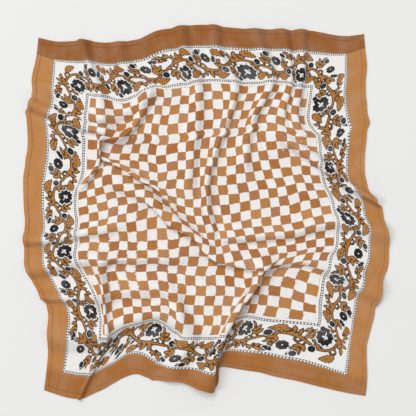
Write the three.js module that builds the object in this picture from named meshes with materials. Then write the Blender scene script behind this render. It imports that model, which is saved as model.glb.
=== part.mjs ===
// Square cotton bandana laid open on a table, rumpled, with one long fold across it.
// All sizes in millimetres, z up, resting on z = 0; the top of the view is +y.
import * as THREE from "three";

// Driving sizes of the flat cloth
const CHECK = 13.8;
const COLUMNS = 28;
const ROWS = 29;
const BORDER = 85.3;
const EDGE = BORDER / CHECK;
const THICKNESS = 1.0;

// Height from which the lie of the cloth was read
const EYE_HEIGHT = 1000;

// Slope steps over a fold
const SLOPE_STEPS = 12;
const FOOT_ROUNDING = 0.3;
const TINY = 1e-6;
const LEAST_HEIGHT = 1e-4;

const CLOTH_COLOUR = 0xb98252;
const CLOTH_ROUGHNESS = 0.92;

// Folds, with places given in columns and rows of the check on the flat cloth.
// runs: the way the crest goes; width: reach of the slope before and after the crest, in checks;
// round: share of that reach that is rounded at the crest;
// before and after: steepest slope in degrees on each side of the crest, at each place.
const FOLDS = [
  {
    name: "long lap",
    runs: "across",
    width: [2.3, 2],
    round: [0.45, 0.3],
    column: [1, 5, 9, 14.5, 18, 21, 28, 35],
    row: [10, 12.6, 15.4, 19.2, 20.4, 21.2, 22.3, 23],
    before: [0, 35, 50, 45, 40, 38, 35, 35],
    after: [0, 45, 105, 125, 90, 75, 70, 55],
  },
  {
    name: "middle crease",
    runs: "down",
    width: [1.3, 1.3],
    round: [0.2, 0.2],
    column: [17.6, 17.2, 16.3, 15.2, 14.8, 14.6],
    row: [-7, 3, 7, 11, 15, 18.5],
    before: [40, 55, 58, 60, 50, 0],
    after: [45, 58, 58, 62, 50, 0],
  },
  {
    name: "crease right of the middle",
    runs: "down",
    width: [1.3, 1.3],
    round: [0.3, 0.3],
    column: [22, 21.2, 20.2, 19.6],
    row: [-7, 4, 8, 12],
    before: [40, 56, 45, 0],
    after: [40, 50, 35, 0],
  },
  {
    name: "right top wave",
    runs: "down",
    width: [1.2, 1.2],
    round: [0.3, 0.3],
    column: [24.6, 24.6, 24.4],
    row: [-7, 2, 6],
    before: [45, 55, 0],
    after: [40, 45, 0],
  },
  {
    name: "corner top wave",
    runs: "down",
    width: [1.2, 1.2],
    round: [0.3, 0.3],
    column: [26.6, 26.6, 26.8],
    row: [-7, 3, 8],
    before: [45, 60, 0],
    after: [45, 50, 0],
  },
  {
    name: "middle top wave",
    runs: "down",
    width: [1.4, 1.4],
    round: [0.3, 0.3],
    column: [13.6, 13.2, 12.6, 12.6],
    row: [-7, 1, 9, 13],
    before: [45, 50, 42, 0],
    after: [40, 42, 40, 0],
  },
  {
    name: "left top wave",
    runs: "down",
    width: [1.3, 1.3],
    round: [0.3, 0.3],
    column: [6.6, 7, 6.4, 5.4, 4.3, 3.6],
    row: [-7, 0.5, 2, 3.4, 4.8, 6],
    before: [30, 42, 55, 60, 60, 0],
    after: [30, 42, 50, 55, 60, 0],
  },
  {
    name: "upper left wave",
    runs: "down",
    width: [1.5, 1.5],
    round: [0.3, 0.3],
    column: [1.2, 1.6, 2.2],
    row: [-7, 2, 10],
    before: [40, 45, 0],
    after: [40, 40, 0],
  },
  {
    name: "left edge dent",
    runs: "across",
    width: [1.5, 1.5],
    round: [0.3, 0.3],
    column: [-7, 1, 5, 9],
    row: [4, 4.3, 5.2, 6.6],
    before: [50, 52, 30, 0],
    after: [55, 55, 30, 0],
  },
  {
    name: "upper left trough",
    runs: "across",
    width: [1.3, 1.3],
    round: [0.3, 0.3],
    column: [-7, 2, 6, 10],
    row: [2.4, 2.2, 1, 0],
    before: [30, 50, 50, 0],
    after: [45, 50, 40, 0],
  },
  {
    name: "left edge wave",
    runs: "across",
    width: [1.3, 1.3],
    round: [0.3, 0.3],
    column: [-7, 2, 7],
    row: [17.6, 17.5, 17],
    before: [45, 50, 0],
    after: [50, 50, 0],
  },
  {
    name: "lower left wave",
    runs: "across",
    width: [1.6, 1.6],
    round: [0.3, 0.3],
    column: [-7, 4, 9, 13],
    row: [21.2, 20.9, 21, 21],
    before: [45, 46, 35, 0],
    after: [40, 42, 30, 0],
  },
  {
    name: "lower left roll",
    runs: "across",
    width: [1.6, 1.6],
    round: [0.3, 0.3],
    column: [-7, 3, 7, 12],
    row: [25, 25, 24.8, 24.4],
    before: [45, 30, 35, 0],
    after: [45, 30, 32, 0],
  },
  {
    name: "bottom arch",
    runs: "across",
    width: [2, 2.2],
    round: [0.3, 0.3],
    column: [-7, 4, 9, 12],
    row: [30, 28.6, 28.2, 28.6],
    before: [40, 45, 50, 0],
    after: [40, 45, 50, 0],
  },
  {
    name: "left pinch",
    runs: "down",
    width: [1.3, 1.3],
    round: [0.2, 0.2],
    column: [2.6, 2, 1.6, 1],
    row: [19, 24, 28, 36],
    before: [0, 60, 75, 30],
    after: [0, 55, 60, 30],
  },
  {
    name: "bottom roll",
    runs: "down",
    width: [1.5, 1.5],
    round: [0.3, 0.3],
    column: [8.4, 10, 11.6, 13],
    row: [23, 26.5, 29, 36],
    before: [0, 45, 50, 40],
    after: [0, 45, 45, 40],
  },
  {
    name: "right wave",
    runs: "across",
    width: [1.6, 1.6],
    round: [0.3, 0.3],
    column: [14, 18, 23, 28, 35],
    row: [16.6, 17, 17.2, 17, 17],
    before: [0, 45, 48, 40, 40],
    after: [0, 50, 48, 35, 35],
  },
  {
    name: "upper right fold",
    runs: "across",
    width: [1.5, 1.4],
    round: [0.25, 0.25],
    column: [22.5, 26, 28.5, 35],
    row: [5, 7.8, 9.4, 13.5],
    before: [0, 55, 60, 50],
    after: [0, 65, 80, 75],
  },
  {
    name: "bottom pleat",
    runs: "down",
    width: [2, 2.6],
    round: [0.25, 0.25],
    column: [21, 19.6, 18.4, 17.4, 16.4, 15],
    row: [19, 22, 25, 28, 31, 36],
    before: [0, 50, 80, 85, 85, 85],
    after: [0, 55, 100, 115, 120, 125],
  },
  {
    name: "crease above the lap",
    runs: "across",
    width: [0.9, 0.9],
    round: [0.3, 0.3],
    column: [2.2, 3.6, 5, 7, 9, 10.4, 11.4],
    row: [7.4, 8.5, 9.4, 10.6, 11.5, 12.8, 14.6],
    before: [0, 55, 62, 62, 58, 45, 0],
    after: [0, 65, 75, 75, 70, 60, 0],
  },
  {
    name: "upper left pinch",
    runs: "down",
    width: [1.1, 1.2],
    round: [0.3, 0.3],
    column: [2.9, 2.1, 1.9, 1.5, 0.8, 0],
    row: [4.8, 6.2, 7.6, 9.2, 10.6, 12.4],
    before: [0, 60, 65, 58, 45, 0],
    after: [0, 72, 78, 68, 50, 0],
  },
];

// How the cloth lies: for each row of the flat cloth, where its columns are seen from above,
// in millimetres right of and above the middle of the view.
const LIES = [
  {
    row: -EDGE,
    column: [-EDGE, 1, 7, 12, 17, 22, 28, COLUMNS + EDGE],
    x: [-234, -177, -120, -55, 3, 65, 144, 215],
    y: [235, 233, 230, 247, 253, 248, 244, 240],
  },
  {
    row: -4,
    column: [-4, 7, 17, 32],
    x: [-212, -119, 3, 190],
    y: [204, 200, 223, 212],
  },
  {
    row: 0,
    column: [-EDGE, 0, 2.5, 4, 6, 8, 11, 15, 19, 23, 28, COLUMNS + EDGE],
    x: [-243, -162, -138, -118, -97, -72, -37, 4, 55, 99, 138, 219],
    y: [179, 152, 149, 144, 152, 165, 166, 172, 168, 170, 163, 196],
  },
  {
    row: 2,
    column: [0, 2, 4, 6, 8, 11, 15, 19, 23, 28],
    x: [-165, -142, -117, -95, -73, -39, 6, 50, 90, 135],
    y: [130, 128, 128, 134, 142, 143, 150, 147, 150, 139],
  },
  {
    row: 4,
    column: [-EDGE, 0, 3, 5, 8, 11, 15, 19, 22, 28, COLUMNS + EDGE],
    x: [-248, -165, -127, -104, -77, -41, 7, 43, 70, 135, 219],
    y: [146, 114, 106, 111, 117, 117, 122, 122, 129, 115, 145],
  },
  {
    row: 6,
    column: [0, 1, 3, 4, 6, 8, 11, 15, 19, 23, 28],
    x: [-166, -152, -145, -130, -103, -81, -41, 4, 39, 80, 149],
    y: [94, 94, 92, 89, 88, 89, 90, 98, 99, 106, 97],
  },
  {
    row: 8,
    column: [0, 1, 3, 5, 8, 12, 16, 20, 24, 28],
    x: [-167, -153, -148, -122, -83, -30, 6, 49, 95, 152],
    y: [67, 66, 70, 66, 63, 66, 70, 75, 81, 75],
  },
  {
    row: 10,
    column: [-EDGE, 0, 3, 5, 7, 9, 12, 14, 17, 21, 25, 28, COLUMNS + EDGE],
    x: [-251, -170, -144, -120, -94, -69, -32, -11, 13, 63, 115, 153, 218],
    y: [70, 41, 56, 55, 43, 37, 39, 44, 44, 50, 57, 54, 39],
  },
  {
    row: 12,
    column: [3, 5, 8, 12, 17, 21, 25, 28],
    x: [-145, -117, -77, -32, 15, 70, 121, 156],
    y: [30, 33, 29, 12, 18, 25, 34, 34],
  },
  {
    row: 14,
    column: [-EDGE, 0, 3, 7, 14, 17, 21, 25, 28, COLUMNS + EDGE],
    x: [-254, -179, -139, -87, -8, 19, 73, 127, 166, 239],
    y: [3, 0, 10, 15, -11, -10, -1, 8, 15, 3],
  },
  {
    row: 16,
    column: [5, 8, 13, 15],
    x: [-112, -72, -13, 8],
    y: [-8, -3, -34, -33],
  },
  {
    row: 18,
    column: [-EDGE, 0, 3, 7, 10, 11.2, 17, 21, 25, 28, COLUMNS + EDGE],
    x: [-255, -178, -138, -84, -43, -25, 28, 80, 134, 175, 250],
    y: [-48, -40, -34, -30, -30, -36, -50, -44, -37, -29, -51],
  },
  {
    row: 20,
    column: [3, 8, 13],
    x: [-137, -69, -1],
    y: [-61, -58, -57],
  },
  {
    row: 22,
    column: [-EDGE, 0, 4, 7, 11, 15, 18, 25, 28, COLUMNS + EDGE],
    x: [-247, -174, -126, -84, -29, 25, 62, 131, 164, 241],
    y: [-94, -81, -77, -77, -80, -79, -86, -73, -73, -106],
  },
  {
    row: 25,
    column: [-EDGE, 0, 2, 4, 7, 11, 15, 18, 24, 28, COLUMNS + EDGE],
    x: [-232, -153, -144, -121, -81, -31, 22, 55, 87, 153, 230],
    y: [-123, -120, -119, -113, -113, -120, -121, -119, -94, -108, -144],
  },
  {
    row: 27,
    column: [2, 4, 7, 11, 15, 18, 24, 28],
    x: [-141, -117, -79, -33, 19, 43, 83, 149],
    y: [-147, -138, -136, -145, -148, -143, -120, -134],
  },
  {
    row: 29,
    column: [-EDGE, 0, 2, 4, 7, 10, 12, 15, 22, 25, 28, COLUMNS + EDGE],
    x: [-221, -145, -137, -116, -77, -46, -21, 14, 54, 92, 148, 219],
    y: [-161, -175, -174, -161, -152, -167, -175, -175, -145, -151, -156, -189],
  },
  {
    row: 33,
    column: [-4, 8, 13, 22.5, 32],
    x: [-199, -108, -41, 28, 190],
    y: [-225, -200, -221, -196, -229],
  },
  {
    row: ROWS + EDGE,
    column: [-EDGE, 4, 8, 13, 17, 22.5, 25, 28, COLUMNS + EDGE],
    x: [-226, -160, -112, -46, 8, 19, 61, 116, 217],
    y: [-251, -257, -232, -240, -253, -219, -225, -237, -259],
  },
];

// Main lines of the net laid on the cloth, so that the creases fall on its edges.
// cells: number of net cells between a line and the next one.
const LINES_ACROSS = [
  { cells: 14, column: [-EDGE, COLUMNS + EDGE], row: [-EDGE, -EDGE] },
  {
    cells: 6,
    column: [-7, 2, 6, 14, 22.5, 26, 28.5, 35],
    row: [4, 4.5, 5.4, 5, 5, 7.8, 9.4, 13.5],
  },
  {
    cells: 5,
    column: [-7, 2.2, 5, 9, 11.4, 14.5, 21, 28, 35],
    row: [6.2, 7.4, 9.4, 11.5, 13.6, 13.5, 13, 16, 18],
  },
  {
    cells: 20,
    column: [-7, 1, 5, 9, 14.5, 18, 21, 28, 35],
    row: [8.6, 10, 12.6, 15.4, 19.2, 20.4, 21.2, 22.3, 23],
  },
  { cells: 9, column: [-7, 4, 9, 12, 20, 35], row: [30, 28.6, 28.2, 28.6, 31, 32] },
  { cells: 0, column: [-EDGE, COLUMNS + EDGE], row: [ROWS + EDGE, ROWS + EDGE] },
];
const LINES_DOWN = [
  { cells: 10, row: [-EDGE, ROWS + EDGE], column: [-EDGE, -EDGE] },
  {
    cells: 17,
    row: [-7, 0.5, 2, 3.4, 4.8, 6, 7.6, 10.6, 14, 19, 24, 28, 36],
    column: [6.6, 7, 6.4, 5.4, 4.1, 2.5, 1.9, 0.8, 1.4, 2.6, 2, 1.6, 1],
  },
  {
    cells: 8,
    row: [-7, 3, 7, 11, 15, 18.5, 23, 26.5, 29, 36],
    column: [17.6, 17.2, 16.3, 15.2, 14.8, 13.8, 11.5, 11, 12, 13],
  },
  {
    cells: 17,
    row: [-7, 4, 8, 12, 16, 19, 22, 25, 28, 31, 36],
    column: [22, 21.2, 20.2, 19.6, 20.3, 20.6, 19.6, 18.4, 17.4, 16.4, 15],
  },
  { cells: 0, row: [-EDGE, ROWS + EDGE], column: [COLUMNS + EDGE, COLUMNS + EDGE] },
];
const CELLS_ACROSS = LINES_DOWN.reduce((sum, line) => sum + line.cells, 0);
const CELLS_DOWN = LINES_ACROSS.reduce((sum, line) => sum + line.cells, 0);
const NET_ROUNDS = 40;

// Slack left in following those places, so that the cloth stays smooth between them
const SLACK = 0.03;

const radians = (degrees) => (degrees * Math.PI) / 180;
const clamp = (value, low, high) => Math.min(Math.max(value, low), high);
const ease = (value) => {
  const t = clamp(value, 0, 1);
  return t * t * (3 - 2 * t);
};

// Last table step that starts at or before the given place
function stepAt(places, at) {
  let step = 0;
  while (step < places.length - 2 && at > places[step + 1]) step += 1;
  return step;
}

// Slope of a smooth curve at each of its table places
function tangents(places, values) {
  const rises = [];
  for (let i = 0; i < places.length - 1; i += 1) {
    rises.push((values[i + 1] - values[i]) / (places[i + 1] - places[i]));
  }
  return places.map((_, i) => {
    if (i === 0) return rises[0];
    if (i === places.length - 1) return rises[i - 1];
    return (rises[i - 1] + rises[i]) / 2;
  });
}

// Value and slope of the smooth curve through a table, straight beyond its ends
function curve(places, values, at) {
  const slopes = tangents(places, values);
  const last = places.length - 1;
  if (at < places[0]) return [values[0] + (at - places[0]) * slopes[0], slopes[0]];
  if (at > places[last]) return [values[last] + (at - places[last]) * slopes[last], slopes[last]];
  const i = stepAt(places, at);
  const span = places[i + 1] - places[i];
  const t = (at - places[i]) / span;
  const t2 = t * t;
  const t3 = t2 * t;
  const value = (2 * t3 - 3 * t2 + 1) * values[i] + (t3 - 2 * t2 + t) * span * slopes[i]
    + (3 * t2 - 2 * t3) * values[i + 1] + (t3 - t2) * span * slopes[i + 1];
  const slope = ((6 * t2 - 6 * t) * values[i] + (3 * t2 - 4 * t + 1) * span * slopes[i]
    + (6 * t - 6 * t2) * values[i + 1] + (3 * t2 - 2 * t) * span * slopes[i + 1]) / span;
  return [value, slope];
}

// Table value eased from one place to the next
function eased(places, values, at) {
  const i = stepAt(places, at);
  const t = ease((at - places[i]) / (places[i + 1] - places[i]));
  return values[i] * (1 - t) + values[i + 1] * t;
}

// Share of the steepest slope at a share of the way from crest to foot
const slopeShare = (way, round) => ease(way / round) * ease((1 - way) / FOOT_ROUNDING);

// Ground covered and height lost down one side of a fold, and the whole height of that side
function side(way, angle, round) {
  let ground = 0;
  let drop = 0;
  let whole = 0;
  for (let step = 0; step < SLOPE_STEPS; step += 1) {
    const middle = (step + 0.5) / SLOPE_STEPS;
    const slope = angle * slopeShare(way * middle, round);
    ground += (Math.cos(slope) * way) / SLOPE_STEPS;
    drop += (Math.sin(slope) * way) / SLOPE_STEPS;
    whole += Math.sin(angle * slopeShare(middle, round)) / SLOPE_STEPS;
  }
  return { ground, drop, whole: Math.max(whole, TINY) };
}

// Shift and height that one fold gives a point of the flat cloth, in checks
function foldAt(fold, column, row) {
  const across = fold.runs === "across";
  const along = across ? column : row;
  const off = across ? row : column;
  const places = across ? fold.column : fold.row;
  const crest = across ? fold.row : fold.column;
  const [middle, lean] = curve(places, crest, along);
  const straight = 1 / Math.hypot(1, lean);
  const away = (off - middle) * straight;
  const angles = [
    radians(eased(places, fold.before, along)),
    radians(eased(places, fold.after, along)),
  ];
  const ways = [clamp(-away / fold.width[0], 0, 1), clamp(away / fold.width[1], 0, 1)];
  const sides = ways.map((way, i) => side(way, angles[i], fold.round[i]));
  const height = Math.min(sides[0].whole * fold.width[0], sides[1].whole * fold.width[1]);
  const s = away < 0 ? 0 : 1;
  const beyond = Math.max(Math.abs(away) - fold.width[s], 0);
  const covered = sides[s].ground * fold.width[s] + beyond;
  const shift = Math.sign(away) * covered - away;
  const shiftOff = shift * straight;
  const shiftAlong = -shift * lean * straight;
  return {
    column: across ? shiftAlong : shiftOff,
    row: across ? shiftOff : shiftAlong,
    height: height < LEAST_HEIGHT ? 0 : height * (1 - sides[s].drop / sides[s].whole),
  };
}

// Place and height of a point of the flat cloth once every fold is laid, in checks
function folded(column, row) {
  const at = { column, row, height: 0 };
  for (const fold of FOLDS) {
    const part = foldAt(fold, column, row);
    at.column += part.column;
    at.row += part.row;
    at.height += part.height;
  }
  return at;
}

// Solves a square set of equations with two right-hand sides
function solve(matrix, sides) {
  const size = matrix.length;
  for (let i = 0; i < size; i += 1) {
    let pivot = i;
    for (let j = i + 1; j < size; j += 1) {
      if (Math.abs(matrix[j][i]) > Math.abs(matrix[pivot][i])) pivot = j;
    }
    [matrix[i], matrix[pivot]] = [matrix[pivot], matrix[i]];
    [sides[i], sides[pivot]] = [sides[pivot], sides[i]];
    for (let j = i + 1; j < size; j += 1) {
      const share = matrix[j][i] / matrix[i][i];
      for (let k = i; k < size; k += 1) matrix[j][k] -= share * matrix[i][k];
      sides[j] = sides[j].map((value, k) => value - share * sides[i][k]);
    }
  }
  for (let i = size - 1; i >= 0; i -= 1) {
    for (let j = i + 1; j < size; j += 1) {
      sides[i] = sides[i].map((value, k) => value - matrix[i][j] * sides[j][k]);
    }
    sides[i] = sides[i].map((value) => value / matrix[i][i]);
  }
  return sides;
}

// Bending pull between two points of the flat cloth
function pull(columnA, rowA, columnB, rowB) {
  const apart = Math.hypot(columnA - columnB, rowA - rowB);
  return apart < TINY ? 0 : apart * apart * Math.log(apart);
}

// Smooth shift that brings the folded cloth to where it is seen to lie
function settling() {
  const pins = [];
  for (const lie of LIES) {
    lie.column.forEach((column, i) => {
      const at = folded(column, lie.row);
      const nearness = 1 - (at.height * CHECK) / EYE_HEIGHT;
      pins.push({
        column,
        row: lie.row,
        shift: [lie.x[i] * nearness - at.column * CHECK, lie.y[i] * nearness + at.row * CHECK],
      });
    });
  }
  const plane = pins.map((pin) => [1, pin.column, pin.row]);
  const matrix = pins.map((a, i) => [
    ...pins.map((b, j) => pull(a.column, a.row, b.column, b.row) + (i === j ? SLACK : 0)),
    ...plane[i],
  ]);
  for (let k = 0; k < 3; k += 1) matrix.push([...plane.map((terms) => terms[k]), 0, 0, 0]);
  const weights = solve(matrix, [...pins.map((pin) => pin.shift), [0, 0], [0, 0], [0, 0]]);
  return (column, row) => {
    const terms = [...pins.map((pin) => pull(column, row, pin.column, pin.row)), 1, column, row];
    return [0, 1].map((axis) => terms.reduce((sum, term, i) => sum + term * weights[i][axis], 0));
  };
}

const settle = settling();

// Middle of the cloth's thickness at a point of the flat cloth
function lie(column, row) {
  const at = folded(column, row);
  const [x, y] = settle(column, row);
  return new THREE.Vector3(
    at.column * CHECK + x,
    -at.row * CHECK + y,
    at.height * CHECK + THICKNESS / 2,
  );
}

// Place of a net line between two main lines, at a place along it
function lineAt(lines, along, off, number, at) {
  let first = 0;
  let left = number;
  while (first < lines.length - 2 && left > lines[first].cells) {
    left -= lines[first].cells;
    first += 1;
  }
  const [start] = curve(lines[first][along], lines[first][off], at);
  const [end] = curve(lines[first + 1][along], lines[first + 1][off], at);
  return start + ((end - start) * left) / lines[first].cells;
}

// Column and row of the flat cloth where two net lines cross
function crossing(across, down) {
  let column = COLUMNS / 2;
  let row = ROWS / 2;
  for (let round = 0; round < NET_ROUNDS; round += 1) {
    column = lineAt(LINES_DOWN, "row", "column", across, row);
    row = lineAt(LINES_ACROSS, "column", "row", down, column);
  }
  return [column, row];
}

// Closed sheet: face, back and the rim between them
function clothGeometry() {
  const wide = CELLS_ACROSS + 1;
  const count = wide * (CELLS_DOWN + 1);
  const middles = [];
  for (let j = 0; j <= CELLS_DOWN; j += 1) {
    for (let i = 0; i <= CELLS_ACROSS; i += 1) {
      middles.push(lie(...crossing(i, j)));
    }
  }
  const box = new THREE.Box3().setFromPoints(middles);
  const centre = box.getCenter(new THREE.Vector3()).setZ(0);
  middles.forEach((point) => point.sub(centre));

  const face = [];
  for (let j = 0; j < CELLS_DOWN; j += 1) {
    for (let i = 0; i < CELLS_ACROSS; i += 1) {
      const a = j * wide + i;
      const b = a + 1;
      const c = a + wide;
      const d = c + 1;
      if (middles[a].distanceTo(middles[d]) < middles[b].distanceTo(middles[c])) {
        face.push([a, c, d], [a, d, b]);
      } else {
        face.push([a, c, b], [b, c, d]);
      }
    }
  }

  const normals = middles.map(() => new THREE.Vector3());
  for (const [a, b, c] of face) {
    const ab = middles[b].clone().sub(middles[a]);
    const ac = middles[c].clone().sub(middles[a]);
    const facing = ab.cross(ac);
    for (const corner of [a, b, c]) normals[corner].add(facing);
  }
  const position = new Float32Array(count * 6);
  middles.forEach((point, i) => {
    const reach = normals[i].normalize().multiplyScalar(THICKNESS / 2);
    point.clone().add(reach).toArray(position, i * 3);
    const under = point.clone().sub(reach);
    under.setZ(Math.max(under.z, 0)).toArray(position, (count + i) * 3);
  });

  const index = [];
  for (const [a, b, c] of face) index.push(a, b, c, count + a, count + c, count + b);
  const rim = (a, b) => index.push(a, count + a, b, b, count + a, count + b);
  const bottomRow = CELLS_DOWN * wide;
  for (let i = 0; i < CELLS_ACROSS; i += 1) {
    rim(i + 1, i);
    rim(bottomRow + i, bottomRow + i + 1);
  }
  for (let j = 0; j < CELLS_DOWN; j += 1) {
    rim(j * wide, (j + 1) * wide);
    rim((j + 1) * wide + CELLS_ACROSS, j * wide + CELLS_ACROSS);
  }
  const geometry = new THREE.BufferGeometry();
  geometry.setAttribute("position", new THREE.BufferAttribute(position, 3));
  geometry.setIndex(index);
  geometry.computeVertexNormals();
  return geometry;
}

const cotton = new THREE.MeshStandardMaterial({
  color: CLOTH_COLOUR,
  roughness: CLOTH_ROUGHNESS,
  metalness: 0,
});

const bandana = new THREE.Group();
bandana.name = "folded_bandana";
const cloth = new THREE.Mesh(clothGeometry(), cotton);
cloth.name = "cloth";
bandana.add(cloth);

export default bandana;
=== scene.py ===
"""Square block-printed cotton bandana, lying open and rumpled on a pale surface, seen from above."""

import logging
import math
from collections.abc import Sequence
from dataclasses import dataclass, field
from enum import Enum

import bpy
import numpy as np
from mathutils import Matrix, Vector


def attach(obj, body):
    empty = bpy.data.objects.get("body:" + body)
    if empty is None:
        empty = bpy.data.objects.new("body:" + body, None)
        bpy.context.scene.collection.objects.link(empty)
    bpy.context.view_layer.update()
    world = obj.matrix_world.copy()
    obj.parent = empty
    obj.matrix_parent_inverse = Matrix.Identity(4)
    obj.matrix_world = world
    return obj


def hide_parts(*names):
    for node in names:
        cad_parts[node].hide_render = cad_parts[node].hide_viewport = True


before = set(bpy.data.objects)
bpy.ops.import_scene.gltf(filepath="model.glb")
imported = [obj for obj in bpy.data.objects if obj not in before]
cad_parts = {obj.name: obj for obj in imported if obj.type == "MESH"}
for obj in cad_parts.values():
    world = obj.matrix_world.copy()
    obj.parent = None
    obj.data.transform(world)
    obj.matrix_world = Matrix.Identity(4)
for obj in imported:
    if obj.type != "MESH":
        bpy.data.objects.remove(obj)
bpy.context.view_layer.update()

log = logging.getLogger("bandana")

# Flat cloth, in millimetres and in checks
MM = 0.001
CHECK = 13.8
COLUMNS = 28
ROWS = 29
BORDER = 85.3
EDGE = BORDER / CHECK
HEM = 8.0 / CHECK

# Stitched line of the hem: how far in from the edge, as a share of the hem's width
SEAM = 0.86

# Print round the checked middle, in checks outside it: ladders of beads, and the band between them
LADDER_IN = 0.35
BAND_IN = 0.50
BAND_OUT = 3.86
LADDER_OUT = 4.0

# Cloth as it is worn: one layer, and what the turned hem adds
CLOTH_THICK = 0.60
HEM_THICK = 0.35

# Least height over the surface, so that nothing sinks into it
LEAST_HEIGHT = 0.02

# Where the cloth is seen from: the height of the eye, and the width of its view
EYE_HEIGHT = 1000.0
PIXELS = 416
PIXEL_SIZE = 1.38
VIEW_WIDTH = PIXELS * PIXEL_SIZE

# Middle of the lie as it is seen, in the frame of the part
CENTRE_X = -2.85
CENTRE_Y = -5.24


class Run(Enum):
    """The way in which a fold's crest runs over the cloth."""

    ACROSS = "across"
    DOWN = "down"


@dataclass(frozen=True)
class Fold:
    """One fold of the cloth, by places along its crest.

    Its width is in checks, its slopes in degrees, and its round the share of a side that bends at
    the crest; each of them is given for the side before the crest and for the side after it.
    """

    name: str
    runs: Run
    width: tuple[float, float]
    column: tuple[float, ...]
    row: tuple[float, ...]
    before: tuple[float, ...]
    after: tuple[float, ...]
    round: tuple[float, float] = (0.3, 0.3)


@dataclass(frozen=True)
class Lie:
    """Where the columns of one row of the flat cloth are seen from above, in millimetres."""

    row: float
    column: tuple[float, ...]
    x: tuple[float, ...]
    y: tuple[float, ...]


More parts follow.
